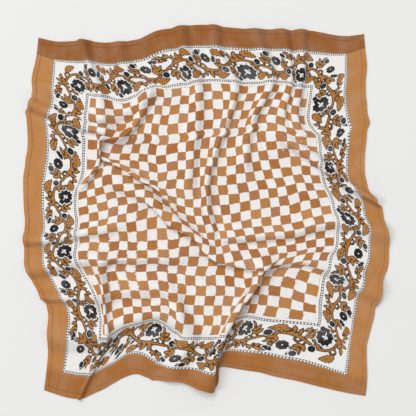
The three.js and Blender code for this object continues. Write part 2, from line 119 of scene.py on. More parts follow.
FOLDS = (
    Fold(
        name="long lap", runs=Run.ACROSS, width=(2.3, 2), round=(0.45, 0.3),
        column=(1, 5, 9, 14.5, 18, 21, 28, 35), row=(10, 12.6, 15.4, 19.2, 20.4, 21.2, 22.3, 23),
        before=(0, 35, 50, 45, 40, 38, 35, 35), after=(0, 45, 105, 125, 90, 75, 70, 55),
    ),
    Fold(
        name="middle crease", runs=Run.DOWN, width=(1.3, 1.3), round=(0.2, 0.2),
        column=(17.6, 17.2, 16.3, 15.2, 14.8, 14.6), row=(-7, 3, 7, 11, 15, 18.5),
        before=(40, 55, 58, 60, 50, 0), after=(45, 58, 58, 62, 50, 0),
    ),
    Fold(
        name="crease right of the middle", runs=Run.DOWN, width=(1.3, 1.3),
        column=(22, 21.2, 20.2, 19.6), row=(-7, 4, 8, 12),
        before=(40, 56, 45, 0), after=(40, 50, 35, 0),
    ),
    Fold(
        name="right top wave", runs=Run.DOWN, width=(1.2, 1.2),
        column=(24.6, 24.6, 24.4), row=(-7, 2, 6),
        before=(45, 55, 0), after=(40, 45, 0),
    ),
    Fold(
        name="corner top wave", runs=Run.DOWN, width=(1.2, 1.2),
        column=(26.6, 26.6, 26.8), row=(-7, 3, 8),
        before=(45, 60, 0), after=(45, 50, 0),
    ),
    Fold(
        name="middle top wave", runs=Run.DOWN, width=(1.4, 1.4),
        column=(13.6, 13.2, 12.6, 12.6), row=(-7, 1, 9, 13),
        before=(45, 50, 42, 0), after=(40, 42, 40, 0),
    ),
    Fold(
        name="left top wave", runs=Run.DOWN, width=(1.3, 1.3),
        column=(6.6, 7, 6.4, 5.4, 4.3, 3.6), row=(-7, 0.5, 2, 3.4, 4.8, 6),
        before=(30, 42, 55, 60, 60, 0), after=(30, 42, 50, 55, 60, 0),
    ),
    Fold(
        name="upper left wave", runs=Run.DOWN, width=(1.5, 1.5),
        column=(1.2, 1.6, 2.2), row=(-7, 2, 10),
        before=(40, 45, 0), after=(40, 40, 0),
    ),
    Fold(
        name="left edge dent", runs=Run.ACROSS, width=(1.5, 1.5),
        column=(-7, 1, 5, 9), row=(4, 4.3, 5.2, 6.6),
        before=(50, 52, 30, 0), after=(55, 55, 30, 0),
    ),
    Fold(
        name="upper left trough", runs=Run.ACROSS, width=(1.3, 1.3),
        column=(-7, 2, 6, 10), row=(2.4, 2.2, 1, 0),
        before=(30, 50, 50, 0), after=(45, 50, 40, 0),
    ),
    Fold(
        name="left edge wave", runs=Run.ACROSS, width=(1.3, 1.3),
        column=(-7, 2, 7), row=(17.6, 17.5, 17),
        before=(45, 50, 0), after=(50, 50, 0),
    ),
    Fold(
        name="lower left wave", runs=Run.ACROSS, width=(1.6, 1.6),
        column=(-7, 4, 9, 13), row=(21.2, 20.9, 21, 21),
        before=(45, 46, 35, 0), after=(40, 42, 30, 0),
    ),
    Fold(
        name="lower left roll", runs=Run.ACROSS, width=(1.6, 1.6),
        column=(-7, 3, 7, 12), row=(25, 25, 24.8, 24.4),
        before=(45, 30, 35, 0), after=(45, 30, 32, 0),
    ),
    Fold(
        name="bottom arch", runs=Run.ACROSS, width=(2, 2.2),
        column=(-7, 4, 9, 12), row=(30, 28.6, 28.2, 28.6),
        before=(40, 45, 50, 0), after=(40, 45, 50, 0),
    ),
    Fold(
        name="left pinch", runs=Run.DOWN, width=(1.3, 1.3), round=(0.2, 0.2),
        column=(2.6, 2, 1.6, 1), row=(19, 24, 28, 36),
        before=(0, 60, 75, 30), after=(0, 55, 60, 30),
    ),
    Fold(
        name="bottom roll", runs=Run.DOWN, width=(1.5, 1.5),
        column=(8.4, 10, 11.6, 13), row=(23, 26.5, 29, 36),
        before=(0, 45, 50, 40), after=(0, 45, 45, 40),
    ),
    Fold(
        name="right wave", runs=Run.ACROSS, width=(1.6, 1.6),
        column=(14, 18, 23, 28, 35), row=(16.6, 17, 17.2, 17, 17),
        before=(0, 45, 48, 40, 40), after=(0, 50, 48, 35, 35),
    ),
    Fold(
        name="upper right fold", runs=Run.ACROSS, width=(1.5, 1.4), round=(0.25, 0.25),
        column=(22.5, 26, 28.5, 35), row=(5, 7.8, 9.4, 13.5),
        before=(0, 55, 60, 50), after=(0, 65, 80, 75),
    ),
    Fold(
        name="bottom pleat", runs=Run.DOWN, width=(2, 2.6), round=(0.25, 0.25),
        column=(21, 19.6, 18.4, 17.4, 16.4, 15), row=(19, 22, 25, 28, 31, 36),
        before=(0, 50, 80, 85, 85, 85), after=(0, 55, 90, 95, 97, 98),
    ),
    Fold(
        name="crease above the lap", runs=Run.ACROSS, width=(0.9, 0.9),
        column=(2.2, 3.6, 5, 7, 9, 10.4, 11.4), row=(7.4, 8.5, 9.4, 10.6, 11.5, 12.8, 14.6),
        before=(0, 55, 62, 62, 58, 45, 0), after=(0, 65, 75, 75, 70, 60, 0),
    ),
    Fold(
        name="upper left pinch", runs=Run.DOWN, width=(1.1, 1.2),
        column=(2.9, 2.1, 1.9, 1.5, 0.8, 0), row=(4.8, 6.2, 7.6, 9.2, 10.6, 12.4),
        before=(0, 60, 65, 58, 45, 0), after=(0, 72, 78, 68, 50, 0),
    ),
)

LIES = (
    Lie(
        row=-EDGE, column=(-EDGE, 1, 7, 12, 17, 22, 28, COLUMNS + EDGE),
        x=(-234, -177, -120, -55, 3, 65, 144, 215), y=(235, 233, 230, 247, 253, 248, 244, 240),
    ),
    Lie(row=-4, column=(-4, 7, 17, 32), x=(-212, -119, 3, 190), y=(204, 200, 223, 212)),
    Lie(
        row=0, column=(-EDGE, 0, 2.5, 4, 6, 8, 11, 15, 19, 23, 28, COLUMNS + EDGE),
        x=(-243, -162, -138, -118, -97, -72, -37, 4, 55, 99, 138, 219),
        y=(179, 152, 149, 144, 152, 165, 166, 172, 168, 170, 163, 196),
    ),
    Lie(
        row=2, column=(0, 2, 4, 6, 8, 11, 15, 19, 23, 28),
        x=(-165, -142, -117, -95, -73, -39, 6, 50, 90, 135),
        y=(130, 128, 128, 134, 142, 143, 150, 147, 150, 139),
    ),
    Lie(
        row=4, column=(-EDGE, 0, 3, 5, 8, 11, 15, 19, 22, 28, COLUMNS + EDGE),
        x=(-248, -165, -127, -104, -77, -41, 7, 43, 70, 135, 219),
        y=(146, 114, 106, 111, 117, 117, 122, 122, 129, 115, 145),
    ),
    Lie(
        row=6, column=(0, 1, 3, 4, 6, 8, 11, 15, 19, 23, 28),
        x=(-166, -152, -145, -130, -103, -81, -41, 4, 39, 80, 149),
        y=(94, 94, 92, 89, 88, 89, 90, 98, 99, 106, 97),
    ),
    Lie(
        row=8, column=(0, 1, 3, 5, 8, 12, 16, 20, 24, 28),
        x=(-167, -153, -148, -122, -83, -30, 6, 49, 95, 152), y=(67, 66, 70, 66, 63, 66, 70, 75, 81, 75),
    ),
    Lie(
        row=10, column=(-EDGE, 0, 3, 5, 7, 9, 12, 14, 17, 21, 25, 28, COLUMNS + EDGE),
        x=(-251, -170, -144, -120, -94, -69, -32, -11, 13, 63, 115, 153, 218),
        y=(70, 41, 56, 55, 43, 37, 39, 44, 44, 50, 57, 54, 39),
    ),
    Lie(
        row=12, column=(3, 5, 8, 12, 17, 21, 25, 28),
        x=(-145, -117, -77, -32, 15, 70, 121, 156), y=(30, 33, 29, 12, 18, 25, 34, 34),
    ),
    Lie(
        row=14, column=(-EDGE, 0, 3, 7, 14, 17, 21, 25, 28, COLUMNS + EDGE),
        x=(-254, -179, -139, -87, -8, 19, 73, 127, 166, 239), y=(3, 0, 10, 15, -11, -10, -1, 8, 15, 3),
    ),
    Lie(row=16, column=(5, 8, 13, 15), x=(-112, -72, -13, 8), y=(-8, -3, -34, -33)),
    Lie(
        row=18, column=(-EDGE, 0, 3, 7, 10, 11.2, 17, 21, 25, 28, COLUMNS + EDGE),
        x=(-255, -178, -138, -84, -43, -25, 28, 80, 134, 175, 250),
        y=(-48, -40, -34, -30, -30, -36, -50, -44, -37, -29, -51),
    ),
    Lie(row=20, column=(3, 8, 13), x=(-137, -69, -1), y=(-61, -58, -57)),
    Lie(
        row=22, column=(-EDGE, 0, 4, 7, 11, 15, 18, 25, 28, COLUMNS + EDGE),
        x=(-247, -174, -126, -84, -29, 25, 62, 131, 164, 241),
        y=(-94, -81, -77, -77, -80, -79, -86, -73, -73, -106),
    ),
    Lie(
        row=25, column=(-EDGE, 0, 2, 4, 7, 11, 15, 18, 24, 28, COLUMNS + EDGE),
        x=(-232, -153, -144, -121, -81, -31, 22, 55, 87, 153, 230),
        y=(-123, -120, -119, -113, -113, -120, -121, -119, -94, -108, -144),
    ),
    Lie(
        row=27, column=(2, 4, 7, 11, 15, 18, 24, 28),
        x=(-141, -117, -79, -33, 19, 43, 83, 149), y=(-147, -138, -136, -145, -148, -143, -120, -134),
    ),
    Lie(
        row=29, column=(-EDGE, 0, 2, 4, 7, 10, 12, 15, 22, 25, 28, COLUMNS + EDGE),
        x=(-221, -145, -137, -116, -77, -46, -21, 14, 54, 92, 148, 219),
        y=(-161, -175, -174, -161, -152, -167, -175, -175, -145, -151, -156, -189),
    ),
    Lie(row=33, column=(-4, 8, 13, 22.5, 32), x=(-199, -108, -41, 28, 190), y=(-225, -200, -221, -196, -229)),
    Lie(
        row=ROWS + EDGE, column=(-EDGE, 4, 8, 13, 17, 22.5, 25, 28, COLUMNS + EDGE),
        x=(-226, -160, -112, -46, 8, 19, 61, 116, 217),
        y=(-251, -257, -232, -240, -253, -219, -225, -237, -259),
    ),
)


def ease(value: np.ndarray) -> np.ndarray:
    """Smooth step from 0 to 1.

    Args:
        value: Share of the way.

    Returns:
        The eased share, 0 below 0 and 1 above 1.
    """
    t = np.clip(value, 0, 1)
    return t * t * (3 - 2 * t)


def curve(places: Sequence[float], values: Sequence[float], at: np.ndarray) -> tuple[np.ndarray, np.ndarray]:
    """Smooth curve through a short table, straight beyond its ends.

    Args:
        places: Places along the curve.
        values: Value at each place.
        at: Places to read.

    Returns:
        Value and slope at each place that is read.
    """
    p, v = np.asarray(places, float), np.asarray(values, float)
    rise = np.diff(v) / np.diff(p)
    slope = np.concatenate([rise[:1], (rise[:-1] + rise[1:]) / 2, rise[-1:]])
    i = np.clip(np.searchsorted(p, at) - 1, 0, len(p) - 2)
    span = p[i + 1] - p[i]
    t = np.clip((at - p[i]) / span, 0, 1)
    t2, t3 = t * t, t * t * t
    value = (
        (2 * t3 - 3 * t2 + 1) * v[i]
        + (t3 - 2 * t2 + t) * span * slope[i]
        + (3 * t2 - 2 * t3) * v[i + 1]
        + (t3 - t2) * span * slope[i + 1]
    )
    lean = (
        (6 * t2 - 6 * t) * v[i]
        + (3 * t2 - 4 * t + 1) * span * slope[i]
        + (6 * t - 6 * t2) * v[i + 1]
        + (3 * t2 - 2 * t) * span * slope[i + 1]
    ) / span
    low, high = at < p[0], at > p[-1]
    value = np.where(low, v[0] + (at - p[0]) * slope[0], value)
    value = np.where(high, v[-1] + (at - p[-1]) * slope[-1], value)
    lean = np.where(low, slope[0], np.where(high, slope[-1], lean))
    return value, lean


def eased(places: Sequence[float], values: Sequence[float], at: np.ndarray) -> np.ndarray:
    """Table value eased from one place to the next.

    Args:
        places: Places of the table.
        values: Value at each place.
        at: Places to read.

    Returns:
        The value at each place that is read.
    """
    p, v = np.asarray(places, float), np.asarray(values, float)
    i = np.clip(np.searchsorted(p, at) - 1, 0, len(p) - 2)
    t = ease((at - p[i]) / (p[i + 1] - p[i]))
    return v[i] * (1 - t) + v[i + 1] * t


def outside(column: np.ndarray, row: np.ndarray) -> np.ndarray:
    """How far outside the checked middle each place lies, in checks; below 0 inside it."""
    return np.maximum(np.maximum(-column, column - COLUMNS), np.maximum(-row, row - ROWS))


def soft_noise(column: np.ndarray, row: np.ndarray, size: float, seed: int) -> np.ndarray:
    """Seeded noise that changes smoothly over the flat cloth.

    Args:
        column: Columns to read, in checks.
        row: Rows to read, in checks.
        size: Size of one lump, in checks.
        seed: Seed of the lumps.

    Returns:
        A value from -1 to 1 for each place.
    """
    lumps = np.random.default_rng(seed).uniform(-1, 1, (128, 128))
    a, b = column / size + 40, row / size + 40
    i, j = np.floor(a).astype(int), np.floor(b).astype(int)
    s, t = ease(a - i), ease(b - j)
    near = lumps[j, i] * (1 - s) + lumps[j, i + 1] * s
    far = lumps[j + 1, i] * (1 - s) + lumps[j + 1, i + 1] * s
    return near * (1 - t) + far * t


@dataclass(frozen=True)
class Crease:
    """One soft ridge, or trough where its height is below 0: ends in checks, height and half width in mm."""

    start: tuple[float, float]
    end: tuple[float, float]
    height: float
    half: float


CREASES = (
    Crease((16.6, 1.0), (15.2, 10.5), 1.8, 6.0),
    Crease((19.6, 0.5), (18.4, 6.0), 2.2, 9.0),
    Crease((21.0, 5.5), (26.0, 10.5), 2.4, 9.0),
    Crease((20.2, 7.0), (21.0, 12.5), 1.8, 8.0),
    Crease((24.5, 1.5), (26.0, 7.0), 2.0, 8.0),
    Crease((22.0, 11.5), (27.0, 14.0), 1.8, 8.0),
    Crease((9.0, 1.0), (8.0, 6.5), 1.8, 8.0),
    Crease((11.0, 6.0), (13.5, 12.0), 2.0, 9.0),
    Crease((1.0, 9.0), (7.0, 12.5), 2.2, 7.0),
    Crease((0.5, 12.0), (8.5, 16.5), 1.8, 7.0),
    Crease((4.0, 14.5), (10.0, 20.0), 1.6, 8.0),
    Crease((2.0, 21.0), (9.0, 22.5), 1.8, 8.0),
    Crease((11.5, 21.0), (14.5, 26.5), 2.0, 9.0),
    Crease((18.0, 23.5), (25.0, 25.5), 1.8, 8.0),
    Crease((-5.6, 8.0), (-1.0, 10.0), 1.8, 8.0),
    Crease((-5.4, 13.5), (-1.5, 14.0), 1.6, 8.0),
    Crease((29.0, 6.0), (33.5, 7.5), 1.8, 8.0),
    Crease((6.0, -5.6), (7.5, -1.5), 1.8, 8.0),
    Crease((19.5, -5.4), (18.5, -1.0), 1.6, 8.0),
    Crease((24.5, 29.5), (26.0, 34.0), 1.8, 9.0),
)


@dataclass
class ClothLie:
    """How the cloth lies: its folds, laid where the view from above shows them.

    The ripple is in millimetres. The bow and the fade of the small creases are in checks.
    """

    steps: int = 12
    foot: float = 0.3
    slack: float = 0.03
    least: float = 1e-4
    ripple: float = 0.55
    bow: float = 0.35
    fade: float = 1.6
    normal_step: float = 0.03
    batch: int = 20000
    pins: np.ndarray = field(init=False)
    weights: np.ndarray = field(init=False)

    def __post_init__(self) -> None:
        """Solves the smooth shift that brings the folded cloth to where it is seen."""
        rows = [(c, lie.row, x, y) for lie in LIES for c, x, y in zip(lie.column, lie.x, lie.y)]
        table = np.array(rows, float)
        self.pins = table[:, :2]
        column, row, height = self.folded(table[:, 0], table[:, 1])
        near = 1 - height * CHECK / EYE_HEIGHT
        wanted = np.stack([table[:, 2] * near - column * CHECK, table[:, 3] * near + row * CHECK], 1)
        count = len(table)
        plane = np.column_stack([np.ones(count), self.pins])
        square = np.zeros((count + 3, count + 3))
        square[:count, :count] = self.pull(self.pins) + self.slack * np.eye(count)
        square[:count, count:] = plane
        square[count:, :count] = plane.T
        self.weights = np.linalg.solve(square, np.vstack([wanted, np.zeros((3, 2))]))

    def pull(self, points: np.ndarray) -> np.ndarray:
        """Bending pull between points of the flat cloth and the pins."""
        apart = np.linalg.norm(points[:, None] - self.pins[None], axis=2)
        return np.where(apart < 1e-6, 0, apart * apart * np.log(np.maximum(apart, 1e-6)))

    def side(self, way: np.ndarray, angle: np.ndarray, rounded: float) -> tuple[np.ndarray, ...]:
        """Follows one side of a fold from its crest.

        Args:
            way: Share of the way from crest to foot.
            angle: Steepest slope of that side, in radians.
            rounded: Share of the way that is rounded at the crest.

        Returns:
            Ground covered, height lost, and the height of the whole side, for a side one check long.
        """
        ground, drop, whole = np.zeros_like(way), np.zeros_like(way), np.zeros_like(way)
        for step in range(self.steps):
            middle = (step + 0.5) / self.steps
            slope = angle * ease(way * middle / rounded) * ease((1 - way * middle) / self.foot)
            full = ease(np.array(middle / rounded)) * ease(np.array((1 - middle) / self.foot))
            ground += np.cos(slope) * way / self.steps
            drop += np.sin(slope) * way / self.steps
            whole += np.sin(angle * full) / self.steps
        return ground, drop, np.maximum(whole, 1e-6)

    def one_fold(self, fold: Fold, column: np.ndarray, row: np.ndarray) -> tuple[np.ndarray, ...]:
        """Shift and height that one fold gives, in checks.

        Args:
            fold: The fold.
            column: Columns of the flat cloth.
            row: Rows of the flat cloth.

        Returns:
            Shift across, shift down and height.
        """
        across = fold.runs is Run.ACROSS
        along, off = (column, row) if across else (row, column)
        places, crest = (fold.column, fold.row) if across else (fold.row, fold.column)
        middle, lean = curve(places, crest, along)
        straight = 1 / np.hypot(1, lean)
        away = (off - middle) * straight
        sides = []
        for s, slopes in enumerate((fold.before, fold.after)):
            angle = np.radians(eased(places, slopes, along))
            way = np.clip((away if s else -away) / fold.width[s], 0, 1)
            sides.append(self.side(way, angle, fold.round[s]))
        height = np.minimum(sides[0][2] * fold.width[0], sides[1][2] * fold.width[1])
        first = away < 0
        ground, drop, whole = (np.where(first, sides[0][k], sides[1][k]) for k in range(3))
        width = np.where(first, *fold.width)
        covered = ground * width + np.maximum(np.abs(away) - width, 0)
        shift = np.sign(away) * covered - away
        high = np.where(height < self.least, 0, height * (1 - drop / whole))
        over, down = shift * straight, -shift * lean * straight
        return (down, over, high) if across else (over, down, high)

    def folded(self, column: np.ndarray, row: np.ndarray) -> tuple[np.ndarray, ...]:
        """Place and height once every fold is laid, in checks."""
        to_column, to_row, height = column.copy(), row.copy(), np.zeros_like(column)
        for fold in FOLDS:
            across, down, high = self.one_fold(fold, column, row)
            to_column += across
            to_row += down
            height += high
        return to_column, to_row, height

    def creased(self, column: np.ndarray, row: np.ndarray) -> np.ndarray:
        """Height of the small creases, in millimetres."""
        height = np.zeros_like(column)
        for crease in CREASES:
            (a, b), (c, d) = crease.start, crease.end
            long = math.hypot(c - a, d - b)
            along = ((column - a) * (c - a) + (row - b) * (d - b)) / long
            bow = self.bow * soft_noise(along, np.full_like(along, a + b), 2.5, 7)
            off = ((row - b) * (c - a) - (column - a) * (d - b)) / long - bow
            fade = ease(along / self.fade) * ease((long - along) / self.fade)
            height += crease.height * fade * ease(1 - np.abs(off) * CHECK / crease.half)
        return height

    def place(self, column: np.ndarray, row: np.ndarray) -> np.ndarray:
        """Lays points of the flat cloth on the surface.

        Args:
            column: Columns of the flat cloth, in checks.
            row: Rows of the flat cloth, in checks.

        Returns:
            Points in the part's frame, in millimetres, on the underside of the cloth.
        """
        to_column, to_row, height = self.folded(column, row)
        flat = np.stack([column, row], 1)
        shift = np.empty_like(flat)
        for start in range(0, len(flat), self.batch):
            some = flat[start : start + self.batch]
            terms = np.column_stack([self.pull(some), np.ones(len(some)), some])
            shift[start : start + self.batch] = terms @ self.weights
        ripple = 0.6 * soft_noise(column, row, 2.3, 3) + 0.4 * soft_noise(column, row, 1.1, 4)
        z = height * CHECK + self.ripple * (1 + ripple) + self.creased(column, row)
        x = to_column * CHECK + shift[:, 0] - CENTRE_X
        y = -to_row * CHECK + shift[:, 1] - CENTRE_Y
        return np.stack([x, y, z], 1)

    def surface(self, column: np.ndarray, row: np.ndarray) -> tuple[np.ndarray, np.ndarray]:
        """Points on the underside of the cloth and the direction that its face looks in there."""
        here = self.place(column, row)
        right = self.place(column + self.normal_step, row) - here
        down = self.place(column, row + self.normal_step) - here
        facing = np.cross(down, right)
        return here, facing / np.linalg.norm(facing, axis=1)[:, None]


def linear(code: str) -> tuple[float, float, float, float]:
    """Linear colour of an sRGB hex code."""
    parts = [int(code[i : i + 2], 16) / 255 for i in (1, 3, 5)]
    r, g, b = (p / 12.92 if p <= 0.04045 else ((p + 0.055) / 1.055) ** 2.4 for p in parts)
    return (r, g, b, 1.0)


def add(tree: bpy.types.NodeTree, kind: str, inputs: dict, **settings: object) -> bpy.types.Node:
    """Adds one node with its settings and links.

    Args:
        tree: Node tree to add to.
        kind: Blender's name of the node.
        inputs: Value or reading for each input, by name or number.
        settings: Settings of the node.

    Returns:
        The new node.
    """
    node = tree.nodes.new(kind)
    for name, value in settings.items():
        setattr(node, name, value)
    for name, value in inputs.items():
        if isinstance(value, Reading):
            tree.links.new(value.socket, node.inputs[name])
        else:
            node.inputs[name].default_value = value
    return node


@dataclass(frozen=True)
class Reading:
    """Number that a shader works out at every point, so that a sum of them is written as a sum."""

    tree: bpy.types.NodeTree
    socket: bpy.types.NodeSocket

    def of(self, kind: str, *others: object) -> "Reading":
        """Outcome of one kind of sum, with this number first."""
        node = add(self.tree, "ShaderNodeMath", dict(enumerate((self, *others))), operation=kind)
        return Reading(self.tree, node.outputs[0])

    def __add__(self, other: object) -> "Reading":
        """Sum."""
        return self.of("ADD", other)

    def __sub__(self, other: object) -> "Reading":
        """Difference."""
        return self.of("SUBTRACT", other)

    def __mul__(self, other: object) -> "Reading":
        """Product."""
        return self.of("MULTIPLY", other)

    def __or__(self, other: object) -> "Reading":
        """The larger of the two, which joins two shapes."""
        return self.of("MAXIMUM", other)

    def __abs__(self) -> "Reading":
        """The number without its sign."""
        return self.of("ABSOLUTE")

    def step(self, low: float, high: float) -> "Reading":
        """Smooth step from 0 at one limit to 1 at the other."""
        inputs = {"Value": self, "From Min": low, "From Max": high}
        node = add(self.tree, "ShaderNodeMapRange", inputs, interpolation_type="SMOOTHSTEP")
        return Reading(self.tree, node.outputs["Result"])

    def shaken(self, noise: "Reading", amount: float) -> "Reading":
        """This number, moved to and fro by a noise."""
        return (noise - 0.5) * amount + self


@dataclass
class Shader:
    """One material under work, with short calls for its nodes."""

    name: str
    made: bpy.types.Material = field(init=False)
    tree: bpy.types.NodeTree = field(init=False)

    def __post_init__(self) -> None:
        """Makes the material, still empty."""
        self.made = bpy.data.materials.new(self.name)
        self.made.use_nodes = True
        self.tree = self.made.node_tree
        self.tree.nodes.clear()

    def read(self, kind: str, output: str | int, inputs: dict, **settings: object) -> Reading:
        """Adds one node and reads one of its outputs."""
        return Reading(self.tree, add(self.tree, kind, inputs, **settings).outputs[output])

    def attribute(self, name: str, output: str = "Fac") -> Reading:
        """What the mesh holds under a name."""
        return self.read("ShaderNodeAttribute", output, {}, attribute_name=name)

    def noise(self, at: Reading, scale: float, detail: float, rough: float, output: str = "Fac") -> Reading:
        """Noise over the flat cloth."""
        inputs = {"Vector": at, "Scale": scale, "Detail": detail, "Roughness": rough}
        return self.read("ShaderNodeTexNoise", output, inputs, noise_dimensions="2D")

    def three_noises(self, where: Reading, scale: float, detail: float, rough: float) -> list[Reading]:
        """Three noises over the flat cloth that don't follow one another."""
        colour = self.noise(where, scale, detail, rough, "Color")
        node = add(self.tree, "ShaderNodeSeparateColor", {0: colour})
        return [Reading(self.tree, output) for output in node.outputs]

    def stretched(self, where: Reading, across: float, down: float) -> Reading:
        """Place on the cloth, drawn out across and down for a noise that runs one way."""
        return self.read("ShaderNodeVectorMath", 0, {0: where, 1: (across, down, 1.0)}, operation="MULTIPLY")

    def blend(self, share: Reading | float, first: object, second: object) -> Reading:
        """Mix of two colours, by the share of the second."""
        return self.read("ShaderNodeMix", 2, {0: share, 6: first, 7: second}, data_type="RGBA")

    def finish(self, inputs: dict) -> bpy.types.Material:
        """Ends the material with its surface."""
        surface = self.read("ShaderNodeBsdfPrincipled", 0, inputs)
        add(self.tree, "ShaderNodeOutputMaterial", {"Surface": surface})
        return self.made


class Ink(Enum):
    """The two inks of the flowering band."""

    DARK = "dark"
    LEAF = "leaf"


@dataclass(frozen=True)
class Sprig:
    """One twig of the vine: where it leaves in millimetres, its lean, length, bend and pairs of leaflets."""

    along: float
    lean: float
    length: float
    bend: float
    pairs: int


@dataclass(frozen=True)
class Motif:
    """One motif: millimetres along the vine, millimetres off the middle line, turn or petals, and size."""

    along: float
    off: float
    turn: float
    size: float


# What grows on every half wave of the vine; a lean, bend, offset or turn above 0 is to the side of its bow
SPRIGS = (
    Sprig(2.0, -1.75, 17.0, 0.35, 2),
    Sprig(7.5, 0.60, 18.0, -0.95, 2),
    Sprig(33.0, -0.75, 15.0, -0.60, 2),
)
LEAVES = (
    Motif(26.0, 19.5, -0.28, 21.0),
    Motif(35.0, -19.0, 0.42, 20.0),
)
HOOKS = (
    Motif(27.0, 0.0, 0.9, 5.0),
    Motif(42.0, 0.0, -0.9, 4.6),
    Motif(13.5, 0.0, -1.0, 4.6),
)
BUDS = (Motif(0.5, 13.5, 0.7, 8.5),)

# Flowers of a whole block; an offset above 0 is outwards
BLOSSOMS = (
    Motif(23.5, -9.0, 0.7, 11.8),
    Motif(122.0, -9.0, -0.6, 11.2),
)
ROSETTES = (
    Motif(73.0, 8.5, 8, 7.2),
    Motif(168.5, 9.0, 9, 7.0),
    Motif(43.5, 7.0, 7, 4.6),
    Motif(92.5, -7.5, 8, 4.8),
    Motif(141.5, 7.0, 7, 4.4),
    Motif(191.0, -7.5, 8, 4.8),
    Motif(60.0, 18.0, 7, 4.2),
)
ROUNDS = (Motif(158.5, 17.5, 11, 4.4), Motif(11.0, -18.5, 11, 3.6))
COMBS = (Motif(181.0, 7.5, 0.9, 12.0), Motif(86.0, 16.0, -0.5, 11.0))


